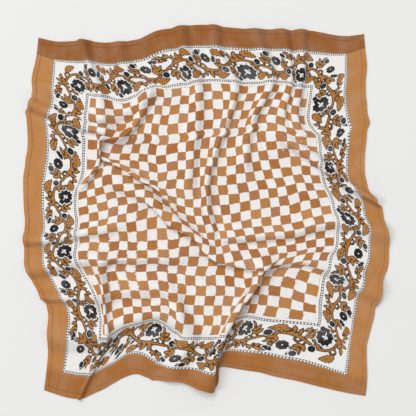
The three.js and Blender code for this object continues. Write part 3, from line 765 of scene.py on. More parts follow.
@dataclass
class VineBand:
    """Flowering vine printed round the checks, drawn as distances to its edges.

    One block is repeated round the band. All sizes are in millimetres on the flat cloth.
    """

    corner: float = 24.0
    blocks: int = 9
    swing: float = 9.0
    stem: float = 1.5
    far: float = -9.0
    halo: float = 1.2
    first: float = 54.0
    u: np.ndarray = field(default_factory=lambda: np.empty(0))
    v: np.ndarray = field(default_factory=lambda: np.empty(0))
    dark: np.ndarray = field(default_factory=lambda: np.empty(0))
    leaf: np.ndarray = field(default_factory=lambda: np.empty(0))

    def __post_init__(self) -> None:
        """Works out the path that the vine follows."""
        middle = (BAND_IN + BAND_OUT) / 2 * CHECK
        self.half_x = COLUMNS * CHECK / 2 + middle
        self.half_y = ROWS * CHECK / 2 + middle
        self.straight_x = 2 * (self.half_x - self.corner)
        self.straight_y = 2 * (self.half_y - self.corner)
        self.turn = math.pi / 2 * self.corner
        self.round_trip = 2 * (self.straight_x + self.straight_y) + 4 * self.turn
        self.block = self.round_trip / self.blocks

    def path(self, s: float) -> tuple[float, float, float]:
        """Point of the middle line of the band and its direction.

        Args:
            s: Way along the line, clockwise from the upper left, in millimetres.

        Returns:
            Right of the middle, above the middle, and the direction in radians.
        """
        s %= self.round_trip
        x, y, heading = -self.half_x + self.corner, self.half_y, 0.0
        for length in (self.straight_x, self.straight_y, self.straight_x, self.straight_y):
            if s <= length:
                return x + s * math.cos(heading), y + s * math.sin(heading), heading
            s -= length
            x, y = x + length * math.cos(heading), y + length * math.sin(heading)
            cx, cy = x + self.corner * math.sin(heading), y - self.corner * math.cos(heading)
            turned = heading - min(s, self.turn) / self.corner
            x, y = cx - self.corner * math.sin(turned), cy + self.corner * math.cos(turned)
            if s <= self.turn:
                return x, y, turned
            s -= self.turn
            heading -= math.pi / 2
        return x, y, heading

    def at(self, s: float, off: float) -> tuple[float, float, float]:
        """Point at a way along the band and off its middle line, outwards, with the direction."""
        x, y, heading = self.path(s)
        return x - off * math.sin(heading), y + off * math.cos(heading), heading

    def stem_at(self, s: float) -> tuple[float, float, float]:
        """Point of the main stem and the direction in which it grows there."""
        wave = 4 * math.pi / self.block
        start = (s - self.first) * wave
        x, y, heading = self.at(s, self.swing * math.sin(start))
        return x, y, heading + math.atan(self.swing * wave * math.cos(start))

    def near(self, x: float, y: float, reach: float) -> np.ndarray:
        """Numbers of the points near a place."""
        return np.flatnonzero((np.abs(self.u - x) < reach) & (np.abs(self.v - y) < reach))

    def local(self, x: float, y: float, heading: float, reach: float) -> tuple[np.ndarray, ...]:
        """Points near a place, with how far along and how far across a direction each lies."""
        some = self.near(x, y, reach)
        px, py = self.u[some] - x, self.v[some] - y
        along = px * math.cos(heading) + py * math.sin(heading)
        return some, along, py * math.cos(heading) - px * math.sin(heading)

    def mark(self, ink: Ink, some: np.ndarray, depth: np.ndarray) -> None:
        """Adds a shape of one ink, by how deep each point lies in it."""
        held = self.dark if ink is Ink.DARK else self.leaf
        held[some] = np.maximum(held[some], depth)

    def clear(self, some: np.ndarray, depth: np.ndarray) -> None:
        """Keeps both inks out of a shape and of a pale ring round it."""
        self.leaf[some] = np.minimum(self.leaf[some], -depth - self.halo)
        self.dark[some] = np.minimum(self.dark[some], -depth - self.halo * 0.6)

    def line(self, ink: Ink, points: Sequence[tuple[float, float]], start: float, end: float) -> None:
        """Draws a line that tapers from one half width to another."""
        count = len(points) - 1
        for i in range(count):
            (ax, ay), (bx, by) = points[i], points[i + 1]
            half = start + (end - start) * i / count
            dx, dy = bx - ax, by - ay
            some = self.near((ax + bx) / 2, (ay + by) / 2, math.hypot(dx, dy) / 2 + half + 3.5)
            px, py = self.u[some] - ax, self.v[some] - ay
            t = np.clip((px * dx + py * dy) / max(dx * dx + dy * dy, 1e-9), 0, 1)
            self.mark(ink, some, half - np.hypot(px - t * dx, py - t * dy))

    def leaflet(self, x: float, y: float, heading: float, length: float) -> None:
        """Draws one small pointed leaf."""
        some, a, b = self.local(x, y, heading, length + 4)
        share = np.clip(a / length, 0, 1)
        width = 0.21 * length * np.sin(np.pi * share**0.8) ** 0.9
        away = np.maximum(np.maximum(-a, a - length), 0)
        self.mark(Ink.LEAF, some, width - np.abs(b) * 0.9 - away)

    def blade(self, x: float, y: float, heading: float, length: float) -> None:
        """Draws one large toothed leaf with a dark rib and side veins."""
        some, a, b = self.local(x, y, heading, length + 4)
        b = b - 0.07 * length * np.sin(np.pi * a / length)
        share = np.clip(a / length, 0, 1)
        tooth = 1 + 0.20 * np.sin(2 * math.pi * share * length / 4.2)
        width = 0.215 * length * np.sin(np.pi * share**0.75) ** 0.85 * tooth
        away = np.maximum(np.maximum(-a, a - length), 0)
        shape = width - np.abs(b) * 0.92 - away
        self.clear(some, shape)
        self.mark(Ink.LEAF, some, shape)
        rib = np.minimum(0.30 - np.abs(b), np.minimum(a - 2.5, length * 0.78 - a))
        vein = np.abs(np.mod(a - 0.8 * np.abs(b), 3.6) - 1.8) * 0.75
        within = np.minimum(width * 0.62 - np.abs(b), np.minimum(a - 3.5, length * 0.72 - a))
        side = np.minimum(0.22 - vein, within)
        self.mark(Ink.DARK, some, np.maximum(rib, side))

    def sprig(self, start: float, side: int, sprig: Sprig) -> None:
        """Draws a twig with pairs of leaflets and one at its tip."""
        x, y, heading = self.stem_at(start + sprig.along)
        angle, steps, points = heading + sprig.lean * side, 14, [(x, y)]
        tips = []
        before, self.leaf = self.leaf, np.full(len(self.leaf), self.far)
        for i in range(steps):
            angle += sprig.bend * side / steps
            x += sprig.length / steps * math.cos(angle)
            y += sprig.length / steps * math.sin(angle)
            points.append((x, y))
            tips.append((x, y, angle))
        self.line(Ink.LEAF, points, 1.0, 0.7)
        self.leaflet(x, y, angle, 10.5)
        for k in range(sprig.pairs):
            px, py, way = tips[4 + k * (steps - 4) // sprig.pairs]
            self.leaflet(px, py, way + 0.9, 9.8)
            self.leaflet(px, py, way - 0.9, 9.8)
        self.leaf = np.maximum(self.leaf, np.minimum(before, -self.leaf - self.halo))

    def hook(self, start: float, side: int, hook: Motif) -> None:
        """Draws a tendril that curls in to a round knob."""
        x, y, heading = self.stem_at(start + hook.along)
        way = side if hook.turn > 0 else -side
        points, angle = [(x, y)], heading + hook.turn * side
        for i in range(13):
            angle += way * 1.3 / (hook.size * (1 - 0.035 * i))
            x += 1.35 * math.cos(angle)
            y += 1.35 * math.sin(angle)
            points.append((x, y))
        self.line(Ink.LEAF, points, 1.1, 0.9)
        self.line(Ink.LEAF, [points[-1], points[-1]], 1.6, 1.6)

    def rosette(self, x: float, y: float, radius: float, petals: float, eye: float) -> None:
        """Draws a round dark flower with scalloped petals and, where it has one, a pale eye."""
        some, a, b = self.local(x, y, 0.0, radius + 5)
        away, angle = np.hypot(a, b), np.arctan2(b, a)
        edge = radius * (0.86 + 0.14 * np.abs(np.cos(petals * angle / 2)))
        self.clear(some, edge - away)
        depth = np.minimum(edge - away, away - eye) if eye else edge - away
        self.mark(Ink.DARK, some, depth)

    def blossom(self, x: float, y: float, heading: float, size: float) -> None:
        """Draws a large dark flower with a pale three-lobed heart and a fine scalloped line behind it."""
        some, a, b = self.local(x, y, heading, size * 1.9)
        away, angle = np.hypot(a / 1.12, b), np.arctan2(b, a / 1.12)
        cleft = 1 - 0.30 * np.exp(-((np.abs(angle) - 2.5) ** 2) / 0.06)
        edge = size * (0.93 + 0.07 * np.cos(11 * angle)) * cleft
        self.clear(some, edge + 0.9 - away)
        heart = 0.06 * size - np.abs(b) * 0.9 - np.maximum(np.abs(a + 0.22 * size) - 0.26 * size, 0)
        for lean, reach in ((-1.0, 0.42), (0.0, 0.56), (1.0, 0.42)):
            la = a * math.cos(lean) + b * math.sin(lean)
            lb = b * math.cos(lean) - a * math.sin(lean)
            share = np.clip(la / (reach * size), 0, 1)
            lobe = 0.13 * size * np.sin(np.pi * share**1.2) ** 0.8 - np.abs(lb) - np.maximum(-la, 0)
            heart = np.maximum(heart, np.minimum(lobe, reach * size - la))
        self.mark(Ink.DARK, some, np.minimum(edge - away, -heart))
        self.mark(Ink.DARK, some, np.minimum(0.3 - np.abs(b), np.minimum(a, 0.5 * size - a)))
        ring = size * (1.10 + 0.05 * np.abs(np.sin(6 * angle)))
        self.mark(Ink.DARK, some, np.minimum(0.32 - np.abs(away - ring), a + 0.2 * size))

    def comb(self, x: float, y: float, heading: float, length: float) -> None:
        """Draws a dark bean with a combed edge and a pale spot."""
        some, a, b = self.local(x, y, heading, length + 3)
        b = b - 0.035 * a * a
        bean = (1 - np.hypot(a / (0.5 * length), b / (0.27 * length))) * 0.27 * length
        bean = bean + np.where(b > 0, 0.45 * np.sin(a * 2.4), 0)
        self.clear(some, bean)
        self.mark(Ink.DARK, some, np.minimum(bean, np.hypot(a, b + 0.10 * length) - 0.9))

    def bud(self, x: float, y: float, heading: float, size: float) -> None:
        """Draws a fan-shaped bud with dark rays."""
        some, a, b = self.local(x, y, heading, size + 4)
        away, angle = np.hypot(a, b), np.arctan2(b, a)
        fan = np.minimum(size * (0.92 + 0.08 * np.cos(10 * angle)) - away, (0.62 - np.abs(angle)) * away)
        self.clear(some, fan)
        self.mark(Ink.LEAF, some, fan)
        rays = np.minimum(0.24 - np.abs(np.sin(angle * 6)) * away / 6, np.minimum(fan, away - 2.2))
        self.mark(Ink.DARK, some, rays)

    def one_block(self, start: float) -> None:
        """Prints one block of the band.

        Args:
            start: Way along the band at which the block starts, in millimetres.
        """
        for half in range(4):
            side, base = 1 - 2 * (half % 2), start + half * self.block / 4
            for sprig in SPRIGS:
                self.sprig(base, side, sprig)
            for motifs, draw in ((LEAVES, self.blade), (BUDS, self.bud)):
                for m in motifs:
                    x, y, heading = self.at(base + m.along, m.off * side)
                    draw(x, y, heading + m.turn * side, m.size)
        for half in range(4):
            for hook in HOOKS:
                self.hook(start + half * self.block / 4, 1 - 2 * (half % 2), hook)
        count = int(self.block / 1.6) + 1
        stem = [self.stem_at(start + self.block * i / count)[:2] for i in range(count + 1)]
        self.line(Ink.LEAF, stem, self.stem, self.stem)
        for motifs, draw in ((BLOSSOMS, self.blossom), (COMBS, self.comb)):
            for m in motifs:
                x, y, heading = self.at(start + m.along, m.off)
                draw(x, y, heading + m.turn, m.size)
        for motifs, eye in ((ROSETTES, 0.17), (ROUNDS, 0.0)):
            for m in motifs:
                x, y, _ = self.at(start + m.along, m.off)
                self.rosette(x, y, m.size, m.turn, eye * m.size)

    def draw(self, column: np.ndarray, row: np.ndarray) -> tuple[np.ndarray, np.ndarray]:
        """Prints the whole band.

        Args:
            column: Columns of the points to print on, in checks.
            row: Rows of the points, in checks.

        Returns:
            How deep each point lies in the dark ink and in the leaf ink, in millimetres.
        """
        self.u = (column - COLUMNS / 2) * CHECK
        self.v = (ROWS / 2 - row) * CHECK
        self.dark = np.full(len(column), self.far)
        self.leaf = np.full(len(column), self.far)
        for number in range(self.blocks):
            self.one_block(self.first + number * self.block)
        return self.dark, self.leaf


@dataclass
class PrintedCotton:
    """Plain-woven cotton printed by hand with wooden blocks.

    The eye sees matte cloth with slubs, ink that is uneven from one impression to the next,
    soft bleeding edges, and a paler back where the ink only shows through. Sizes and places
    are in checks. Only the vine's edges are in millimetres, as VineBand gives them.
    """

    ground: str = "#EDEBE8"
    brown: str = "#A36127"
    light_brown: str = "#BE8342"
    leaf: str = "#B27632"
    # Border brown differs by side: darkest on the top strip, then the lower strip, lighter on the left and
    # right strips
    top_border: str = "#985E2C"
    low_border: str = "#A66A31"
    left_border: str = "#BB8046"
    right_border: str = "#B87E45"
    overlap: str = "#5A3A24"
    seam: str = "#6B4526"
    dark: str = "#1D1918"
    roughness: float = 0.88

    # Squares: how far the ink spreads, how round their corners are, and how far their edges stray
    ink_gain: float = 0.020
    corner: float = 0.06
    stray: float = 0.20
    fraying: float = 0.16

    # Ladders of beads, on the middle of their rules
    ladder_half: float = 0.125
    bead_pitch: float = 0.25
    bead_half: float = 0.088

    # Where the block ran dry, at the lower left: the rows that it fades in and out over, and the columns
    dry_from: tuple[float, float] = (17.5, 19.5)
    dry_to: tuple[float, float] = (27.0, 24.5)
    dry_columns: tuple[float, float] = (13.0, 7.0)
    dry_streak: float = 0.55
    missed_spot: tuple[float, float, float] = (9.45, 4.55, 0.0)

    # Second impressions of the border overlap at the upper corners
    overlap_row: float = -4.12
    overlap_reach: float = 18.0

    back_fade: float = 0.62
    # Threads lie 0.35 mm apart; they are drawn 1.1 mm apart, as fine as the render can show
    thread: float = 1.1 / CHECK

    def __post_init__(self) -> None:
        """Reads the place of each point, and how far outside the squares it lies."""
        self.shader = Shader("printed_cotton")
        self.flat = self.shader.attribute("flat_place", "Vector")
        parts = add(self.shader.tree, "ShaderNodeSeparateXYZ", {"Vector": self.flat})
        self.column, self.row = (Reading(self.shader.tree, parts.outputs[k]) for k in (0, 1))
        self.fray = self.shader.three_noises(self.flat, 9.0, 3.0, 0.6)
        self.off_side = self.column * -1.0 | self.column - float(COLUMNS)
        self.off_end = self.row * -1.0 | self.row - float(ROWS)
        self.off = self.off_side | self.off_end
        self.ragged = self.off.shaken(self.fray[2], 0.05)

    def squares(self) -> tuple[Reading, Reading]:
        """Checked middle, with hand-cut edges that wander, and streaks where the block ran dry.

        Returns:
            The brown squares, and a tone that each square has for itself.
        """
        slow = self.shader.three_noises(self.flat, 1.7, 2.0, 0.5)
        wide = self.shader.stretched(self.flat, 0.45, 7.0)
        brush = self.shader.noise(wide, 1.6, 3.0, 0.6)
        dry = self.row.step(*self.dry_from) * self.row.step(*self.dry_to)
        dry = dry * self.column.step(*self.dry_columns)
        places = [
            place.shaken(slow[axis], self.stray).shaken(self.fray[axis], self.fraying)
            for axis, place in enumerate((self.column, self.row))
        ]
        places[0] = places[0] + (brush - 0.5) * dry * self.dry_streak

        # How deep each point lies in its own square, above 0 in the brown ones
        cell = [place.of("FLOOR") for place in places]
        pale = (cell[0] + cell[1]).of("FLOORED_MODULO", 2.0)
        inside = [place.of("PINGPONG", 0.5) for place in places]
        depth = inside[0].of("SMOOTH_MIN", inside[1], self.corner) * (pale * -2.0 + 1.0) + self.ink_gain
        own = self.shader.read("ShaderNodeCombineXYZ", 0, {0: cell[0], 1: cell[1]})
        tone = self.shader.read("ShaderNodeTexWhiteNoise", "Value", {"Vector": own}, noise_dimensions="2D")
        return depth.step(-0.02, 0.03) * self.ragged.step(0.02, -0.02), tone

    def ladders(self) -> Reading:
        """Ladders of pale beads between two dark rules, on both sides of the flowering band."""
        by_side = {0: self.off_side.of("GREATER_THAN", self.off_end), 2: self.column, 3: self.row}
        along = self.shader.read("ShaderNodeMix", 0, by_side, data_type="FLOAT")
        beside = (along.of("DIVIDE", self.bead_pitch).of("FRACT") - 0.5) * self.bead_pitch
        both = []
        for middle in (LADDER_IN, LADDER_OUT):
            away = abs(self.ragged - middle)
            rule = away.step(self.ladder_half + 0.02, self.ladder_half - 0.02)
            apart = (beside.of("POWER", 2.0) + away.of("POWER", 2.0)).of("SQRT")
            both.append(rule * apart.step(self.bead_half - 0.015, self.bead_half + 0.02))
        return both[0] | both[1]

    def vine(self) -> tuple[Reading, Reading, Reading]:
        """Flowering band, with edges frayed by the ink.

        Returns:
            The dark shapes, the leaf-brown shapes, and the dark outline round the latter.
        """
        within = self.off.step(BAND_IN - 0.02, BAND_IN + 0.04)
        within = within * self.off.step(BAND_OUT + 0.04, BAND_OUT - 0.02)
        frayed = (self.fray[0] - 0.5) * 0.9
        dark, leaf = (self.shader.attribute(name) + frayed for name in ("dark_ink", "leaf_ink"))
        outline = abs(leaf).step(0.80, 0.35)
        return dark.step(-0.25, 0.25) * within, leaf.step(-0.30, 0.20) * within, outline * within

    def brown_ink(self, patch: Reading, tone: Reading, leaf: Reading, border: Reading) -> Reading:
        """Colour of the brown inks, uneven from patch to patch and from square to square.

        Args:
            patch: Slow noise of the ink.
            tone: Tone of each square.
            leaf: Leaf-brown shapes.
            border: Plain border.

        Returns:
            The colour at each point.
        """
        blend = self.shader.blend
        speck = self.shader.noise(self.flat, 5.5, 4.0, 0.75)
        mixed = (patch * 0.42 + speck * 0.42 + tone * 0.16).step(0.34, 0.66)
        ink = blend(mixed, linear(self.brown), linear(self.light_brown))
        ink = blend(leaf, ink, linear(self.leaf))
        to_right = self.column.step(0.0, float(COLUMNS))
        side = blend(to_right, linear(self.left_border), linear(self.right_border))
        side = blend(self.row.step(32.6, 33.6), side, linear(self.low_border))
        side = blend(self.row.step(-3.9, -4.3), side, linear(self.top_border))
        return blend(border, ink, side)

    def printed(self) -> Reading:
        """Colour of the print on the pale ground, with the marks of the border and the hem.

        Returns:
            The colour at each point of the face.
        """
        blend = self.shader.blend
        check, tone = self.squares()
        dark, leaf, outline = self.vine()
        border = self.ragged.step(LADDER_OUT + 0.10, LADDER_OUT + 0.16)
        patch = self.shader.noise(self.flat, 0.42, 3.0, 0.6)
        worn = (patch * 0.6 + self.shader.noise(self.flat, 14.0, 2.0, 0.7) * 0.4).step(0.40, 0.56)
        spot = {0: self.flat, 1: self.missed_spot}
        missed = self.shader.read("ShaderNodeVectorMath", "Value", spot, operation="DISTANCE")
        missed = missed.shaken(self.fray[1], 0.22)
        thin = (worn * 0.06 + 0.94 - tone * check * 0.04) * (missed.step(0.30, 0.16) * -0.75 + 1.0)
        ink = self.brown_ink(patch, tone, leaf, border)
        colour = blend((check | border | leaf) * thin, linear(self.ground), ink)
        lines = (dark | self.ladders() | outline * 0.92) * (worn * 0.10 + 0.90)
        colour = blend(lines, colour, linear(self.dark))

        corners = abs(self.column - COLUMNS / 2).step(self.overlap_reach - 0.1, self.overlap_reach + 0.1)
        twice = abs(self.row - self.overlap_row).step(0.09, 0.03) * border * corners
        colour = blend(twice * 0.55, colour, linear(self.overlap))
        seam = abs(self.off - (EDGE - SEAM * HEM)).step(0.05, 0.015)
        return blend(seam * 0.30, colour, linear(self.seam))

    def material(self) -> bpy.types.Material:
        """Builds the printed cloth: the print, paler on the back, on warp and weft with slubs.

        Returns:
            The material.
        """
        shader = self.shader
        colour = shader.blend(shader.attribute("back") * self.back_fade, self.printed(), linear(self.ground))
        warp = shader.stretched(self.flat, 1 / self.thread, 0.9)
        weft = shader.stretched(self.flat, 0.9, 1 / self.thread)
        slubs = shader.noise(warp, 0.8, 2.0, 0.7) + shader.noise(weft, 0.8, 2.0, 0.7)
        shade = {0: colour, "Scale": slubs * 0.22 + 0.78}
        raised = {"Strength": 0.35, "Distance": 0.0004, "Height": slubs}
        surface = {
            "Base Color": shader.read("ShaderNodeVectorMath", 0, shade, operation="SCALE"),
            "Roughness": self.roughness,
            "Specular IOR Level": 0.25,
            "Sheen Weight": 0.12,
            "Sheen Roughness": 0.5,
            "Normal": shader.read("ShaderNodeBump", 0, raised),
        }
        return shader.finish(surface)


@dataclass(frozen=True)
class SewingThread:
    """Spun cotton thread, dyed near the border's brown. It gives small matte ticks along the hem."""

    colour: str = "#8A5A33"
    light: str = "#A5713F"
    twist: float = 900.0

    def material(self) -> bpy.types.Material:
        """Builds the thread, with its twist drawn as fine bands."""
        shader = Shader("sewing_thread")
        place = shader.read("ShaderNodeTexCoord", "Object", {})
        bands = {"Vector": place, "Scale": self.twist, "Detail": 1.0}
        twist = shader.read("ShaderNodeTexNoise", "Fac", bands)
        colour = shader.blend(twist, linear(self.colour), linear(self.light))
        return shader.finish({"Base Color": colour, "Roughness": 0.8})


def smooth_piece(name: str, points: np.ndarray, faces: list, finish: bpy.types.Material) -> bpy.types.Object:
    """Makes one smooth piece that stays above the surface.

    Args:
        name: Name of the piece.
        points: Its points, in millimetres.
        faces: Its faces, as rows of point numbers.
        finish: Its material.

    Returns:
        The piece.
    """
    points[:, 2] = np.maximum(points[:, 2], LEAST_HEIGHT)
    mesh = bpy.data.meshes.new(name)
    mesh.from_pydata((points * MM).tolist(), [], faces)
    mesh.polygons.foreach_set("use_smooth", np.ones(len(faces), bool))
    mesh.materials.append(finish)
    made = bpy.data.objects.new(name, mesh)
    bpy.context.scene.collection.objects.link(made)
    return made


@dataclass
class Bandana:
    """The printed and hemmed cloth.

    Its net has three coarse cells to a check. Cells in the flowering band, in the hem and where the
    cloth bends most are split again. The hem's sizes are in checks across it and in millimetres up.
    """

    lie: ClothLie
    fine: int = 3
    check_cells: int = 3
    border_cells: int = 18
    bent_cells: int = 1390
    band: tuple[float, float] = (0.42, 3.95)
    hem_step: float = 0.07
    seam_half: float = 0.05
    seam_depth: float = 0.16
    pucker: float = 0.22
    sharp: float = math.radians(70)

    # Map of the print, in shares of its width: the face, the smaller back, and strips for the rim
    margin: float = 0.005
    face_share: float = 0.70
    back_share: float = 0.27
    back_start: float = 0.72
    strips: int = 12
    strip_start: float = 0.74
    strip_pitch: float = 0.02
    strip_width: float = 0.012

    def positions(self) -> tuple[np.ndarray, np.ndarray]:
        """Columns and rows of the finest net lines, in checks."""
        rim = np.linspace(0, EDGE, self.border_cells * self.fine + 1)
        across = np.linspace(0, COLUMNS, COLUMNS * self.check_cells * self.fine + 1)
        down = np.linspace(0, ROWS, ROWS * self.check_cells * self.fine + 1)
        columns = np.concatenate([-rim[::-1], across[1:-1], COLUMNS + rim])
        rows = np.concatenate([-rim[::-1], down[1:-1], ROWS + rim])
        return columns, rows

    def split(self, columns: np.ndarray, rows: np.ndarray) -> tuple[np.ndarray, np.ndarray]:
        """Finds the coarse cells that need the fine net.

        Args:
            columns: Finest net columns.
            rows: Finest net rows.

        Returns:
            True for each coarse cell that is split on the face, and on the back.
        """
        c, r = columns[:: self.fine], rows[:: self.fine]
        mid_c, mid_r = np.meshgrid((c[:-1] + c[1:]) / 2, (r[:-1] + r[1:]) / 2)
        off = outside(mid_c, mid_r)
        chosen = ((off > self.band[0]) & (off < self.band[1])) | (off > EDGE - 1.1 * HEM)
        corner_c, corner_r = np.meshgrid(c, r)
        _, facing = self.lie.surface(corner_c.ravel(), corner_r.ravel())
        facing = facing.reshape(*corner_c.shape, 3)
        a, b = facing[:-1, :-1], facing[1:, 1:]
        d, e = facing[:-1, 1:], facing[1:, :-1]
        bend = 2 - (a * b).sum(2) - (d * e).sum(2)
        bent = np.zeros_like(chosen)
        bent.ravel()[np.argsort(-bend, axis=None, kind="stable")[: self.bent_cells]] = True
        return chosen | bent, bent

    def net(self, split: np.ndarray) -> np.ndarray:
        """Points of the finest net that are used: all coarse corners, and all points of split cells."""
        n = self.fine
        used = np.zeros((split.shape[0] * n + 1, split.shape[1] * n + 1), bool)
        used[::n, ::n] = True
        for j, i in np.argwhere(split) * n:
            used[j : j + n + 1, i : i + n + 1] = True
        return used

    def build(self) -> bpy.types.Object:
        """Builds the cloth as one closed sheet.

        Returns:
            The cloth.
        """
        columns, rows = self.positions()
        chosen, bent = self.split(columns, rows)
        used, back_used = self.net(chosen), self.net(bent)
        for line in (np.s_[0, :], np.s_[-1, :], np.s_[:, 0], np.s_[:, -1]):
            back_used[line] |= used[line]
        face_id = np.where(used, np.cumsum(used).reshape(used.shape) - 1, -1)
        count = int(used.sum())
        back_id = np.where(back_used, np.cumsum(back_used).reshape(used.shape) - 1 + count, -1)

        faces = self.cells(face_id, chosen, False) + self.cells(back_id, bent, True)
        faces += self.rim(face_id, back_id)
        flat_r, flat_c = np.nonzero(used)
        back_r, back_c = np.nonzero(back_used)
        column = np.concatenate([columns[flat_c], columns[back_c]])
        row = np.concatenate([rows[flat_r], rows[back_r]])
        back = np.concatenate([np.zeros(count), np.ones(len(back_c))])

        under, facing = self.lie.surface(column, row)
        off = outside(column, row)
        hem = ease((off - EDGE + HEM) / self.hem_step)
        thick = CLOTH_THICK + HEM_THICK * hem
        thick -= self.seam_depth * np.exp(-(((off - EDGE + SEAM * HEM) / self.seam_half) ** 2))
        pucker = self.pucker * hem * np.sin(column * 9.1 + row * 8.3) * soft_noise(column, row, 0.8, 9)
        under[:, 2] += pucker * (1 - back) * 0.5 + np.abs(pucker)
        points = under + facing * (thick * (1 - back))[:, None]
        made = smooth_piece("bandana", points, faces, PrintedCotton().material())
        mesh = made.data
        mesh.set_sharp_from_angle(angle=self.sharp)
        dark, leaf = VineBand().draw(column, row)
        for name, values in (("dark_ink", dark), ("leaf_ink", leaf), ("back", back)):
            mesh.attributes.new(name, "FLOAT", "POINT").data.foreach_set("value", values.astype(np.float32))
        place = np.stack([column, row, np.zeros_like(row)], 1).astype(np.float32)
        mesh.attributes.new("flat_place", "FLOAT_VECTOR", "POINT").data.foreach_set("vector", place.ravel())
        self.unwrap(mesh, column, row, back)
        return made

    def cells(self, ids: np.ndarray, chosen: np.ndarray, turned: bool) -> list[tuple[int, ...]]:
        """Faces of one side of the sheet.

        Args:
            ids: Number of each net point, or -1.
            chosen: Coarse cells that are split.
            turned: True for the back, whose faces look down.

        Returns:
            The faces, as rows of point numbers.
        """
        n = self.fine
        ring = [(k, 0) for k in range(n)] + [(n, k) for k in range(n)]
        ring += [(n - k, n) for k in range(n)] + [(0, n - k) for k in range(n)]
        made = []
        for (j, i), fine in np.ndenumerate(chosen):
            y, x = j * n, i * n
            if fine:
                block = ids[y : y + n + 1, x : x + n + 1]
                for a, b in np.ndindex(n, n):
                    quad = (block[a, b], block[a + 1, b], block[a + 1, b + 1], block[a, b + 1])
                    made.append(tuple(int(v) for v in quad))
            else:
                loop = [int(ids[y + a, x + b]) for a, b in ring]
                made.append(tuple(v for v in loop if v >= 0))
        return [f[::-1] for f in made] if turned else made

    def rim(self, face_id: np.ndarray, back_id: np.ndarray) -> list[tuple[int, ...]]:
        """Faces round the cut edge, from face to back."""
        made = []
        ends = ((np.s_[0, :], True), (np.s_[-1, :], False))
        sides = ((np.s_[:, 0], False), (np.s_[:, -1], True))
        for line, turned in ends + sides:
            top, low = face_id[line], back_id[line]
            top, low = top[top >= 0], low[low >= 0]
            for a, b, c, d in zip(top[:-1], low[:-1], low[1:], top[1:]):
                quad = (int(a), int(b), int(c), int(d))
                made.append(quad[::-1] if turned else quad)
        return made

    def unwrap(self, mesh: bpy.types.Mesh, column: np.ndarray, row: np.ndarray, back: np.ndarray) -> None:
        """Lays the face, the back and the rim out side by side in a map."""
        corner = np.empty(len(mesh.loops), np.int32)
        mesh.loops.foreach_get("vertex_index", corner)
        u = (column + EDGE) / (COLUMNS + 2 * EDGE)
        v = 1 - (row + EDGE) / (ROWS + 2 * EDGE)
        side = back[corner]
        place = np.stack([u, v], 1)[corner]
        face = place * self.face_share + self.margin
        behind = place * self.back_share + (self.back_start, self.margin)
        uv = np.where(side[:, None] > 0.5, behind, face)
        starts = np.empty(len(mesh.polygons), np.int32)
        totals = np.empty(len(mesh.polygons), np.int32)
        mesh.polygons.foreach_get("loop_start", starts)
        mesh.polygons.foreach_get("loop_total", totals)
        low = np.minimum.reduceat(side, starts)
        high = np.maximum.reduceat(side, starts)
        way = (u + v * 0.999)[corner]
        for number, p in enumerate(np.flatnonzero(high > low)):
            span = slice(starts[p], starts[p] + totals[p])
            along = (way[span] % 1.0) * self.face_share + self.margin
            strip = self.strip_start + self.strip_pitch * (number % self.strips)
            uv[span] = np.stack([along, strip + np.where(side[span] > 0.5, 0.0, self.strip_width)], 1)
        layer = mesh.uv_layers.new(name="OFBake")
        layer.data.foreach_set("uv", uv.astype(np.float32).ravel())


@dataclass
class HemStitching:
    """Lockstitches along the turned hem, lying in the face of the cloth. All sizes are in millimetres."""

    lie: ClothLie
    inset: float = 6.9
    pitch: float = 3.2
    length: float = 2.3
    half: float = 0.19
    sunk: float = 0.02

    # Thickness against its width, and the share of the pitch before the first stitch
    flatness: float = 0.8
    first: float = 0.15

    # Along a stitch: share of its length, share of its width, and height over the cloth
    rings: tuple[tuple[float, float, float], ...] = (
        (0.0, 0.6, -0.10),
        (0.25, 1.0, 0.07),
        (0.75, 1.0, 0.07),
        (1.0, 0.6, -0.10),
    )

    def build(self) -> bpy.types.Object:
        """Builds every stitch as a small flattened bar.

        Returns:
            The stitching.
        """
        inset = EDGE - self.inset / CHECK
        ends = []
        for low, high, fixed, down in (
            (-inset, COLUMNS + inset, -inset, False),
            (-inset, COLUMNS + inset, ROWS + inset, False),
            (-inset, ROWS + inset, -inset, True),
            (-inset, ROWS + inset, COLUMNS + inset, True),
        ):
            count = int((high - low) * CHECK / self.pitch)
            for i in range(count):
                a = low + (i + self.first) * (high - low) / count
                b = a + self.length / CHECK
                ends.append(((fixed, a), (fixed, b)) if down else ((a, fixed), (b, fixed)))
        flat = np.array(ends, float)
        column, row = flat[..., 0].ravel(), flat[..., 1].ravel()
        under, facing = self.lie.surface(column, row)
        top = under + facing * (CLOTH_THICK + HEM_THICK - self.sunk)
        top, facing = top.reshape(-1, 2, 3), facing.reshape(-1, 2, 3)
        points, faces = [], []
        for (a, b), (fa, fb) in zip(top, facing):
            way = (b - a) / max(np.linalg.norm(b - a), 1e-6)
            out = np.cross(way, (fa + fb) / 2)
            rise = (fa + fb) / 2
            start = len(points)
            for share, size, lift in self.rings:
                middle, half = a + (b - a) * share + rise * lift, self.half * size
                for s, t in ((-1, 0), (0, -1), (1, 0), (0, 1)):
                    points.append(middle + out * s * half + rise * t * half * self.flatness)
            for k, m in np.ndindex(3, 4):
                p, q = start + k * 4 + m, start + k * 4 + (m + 1) % 4
                faces.append((p, q, q + 4, p + 4))
            faces.append(tuple(start + m for m in (3, 2, 1, 0)))
            faces.append(tuple(start + 12 + m for m in (0, 1, 2, 3)))
        return smooth_piece("hem_stitching", np.array(points), faces, SewingThread().material())


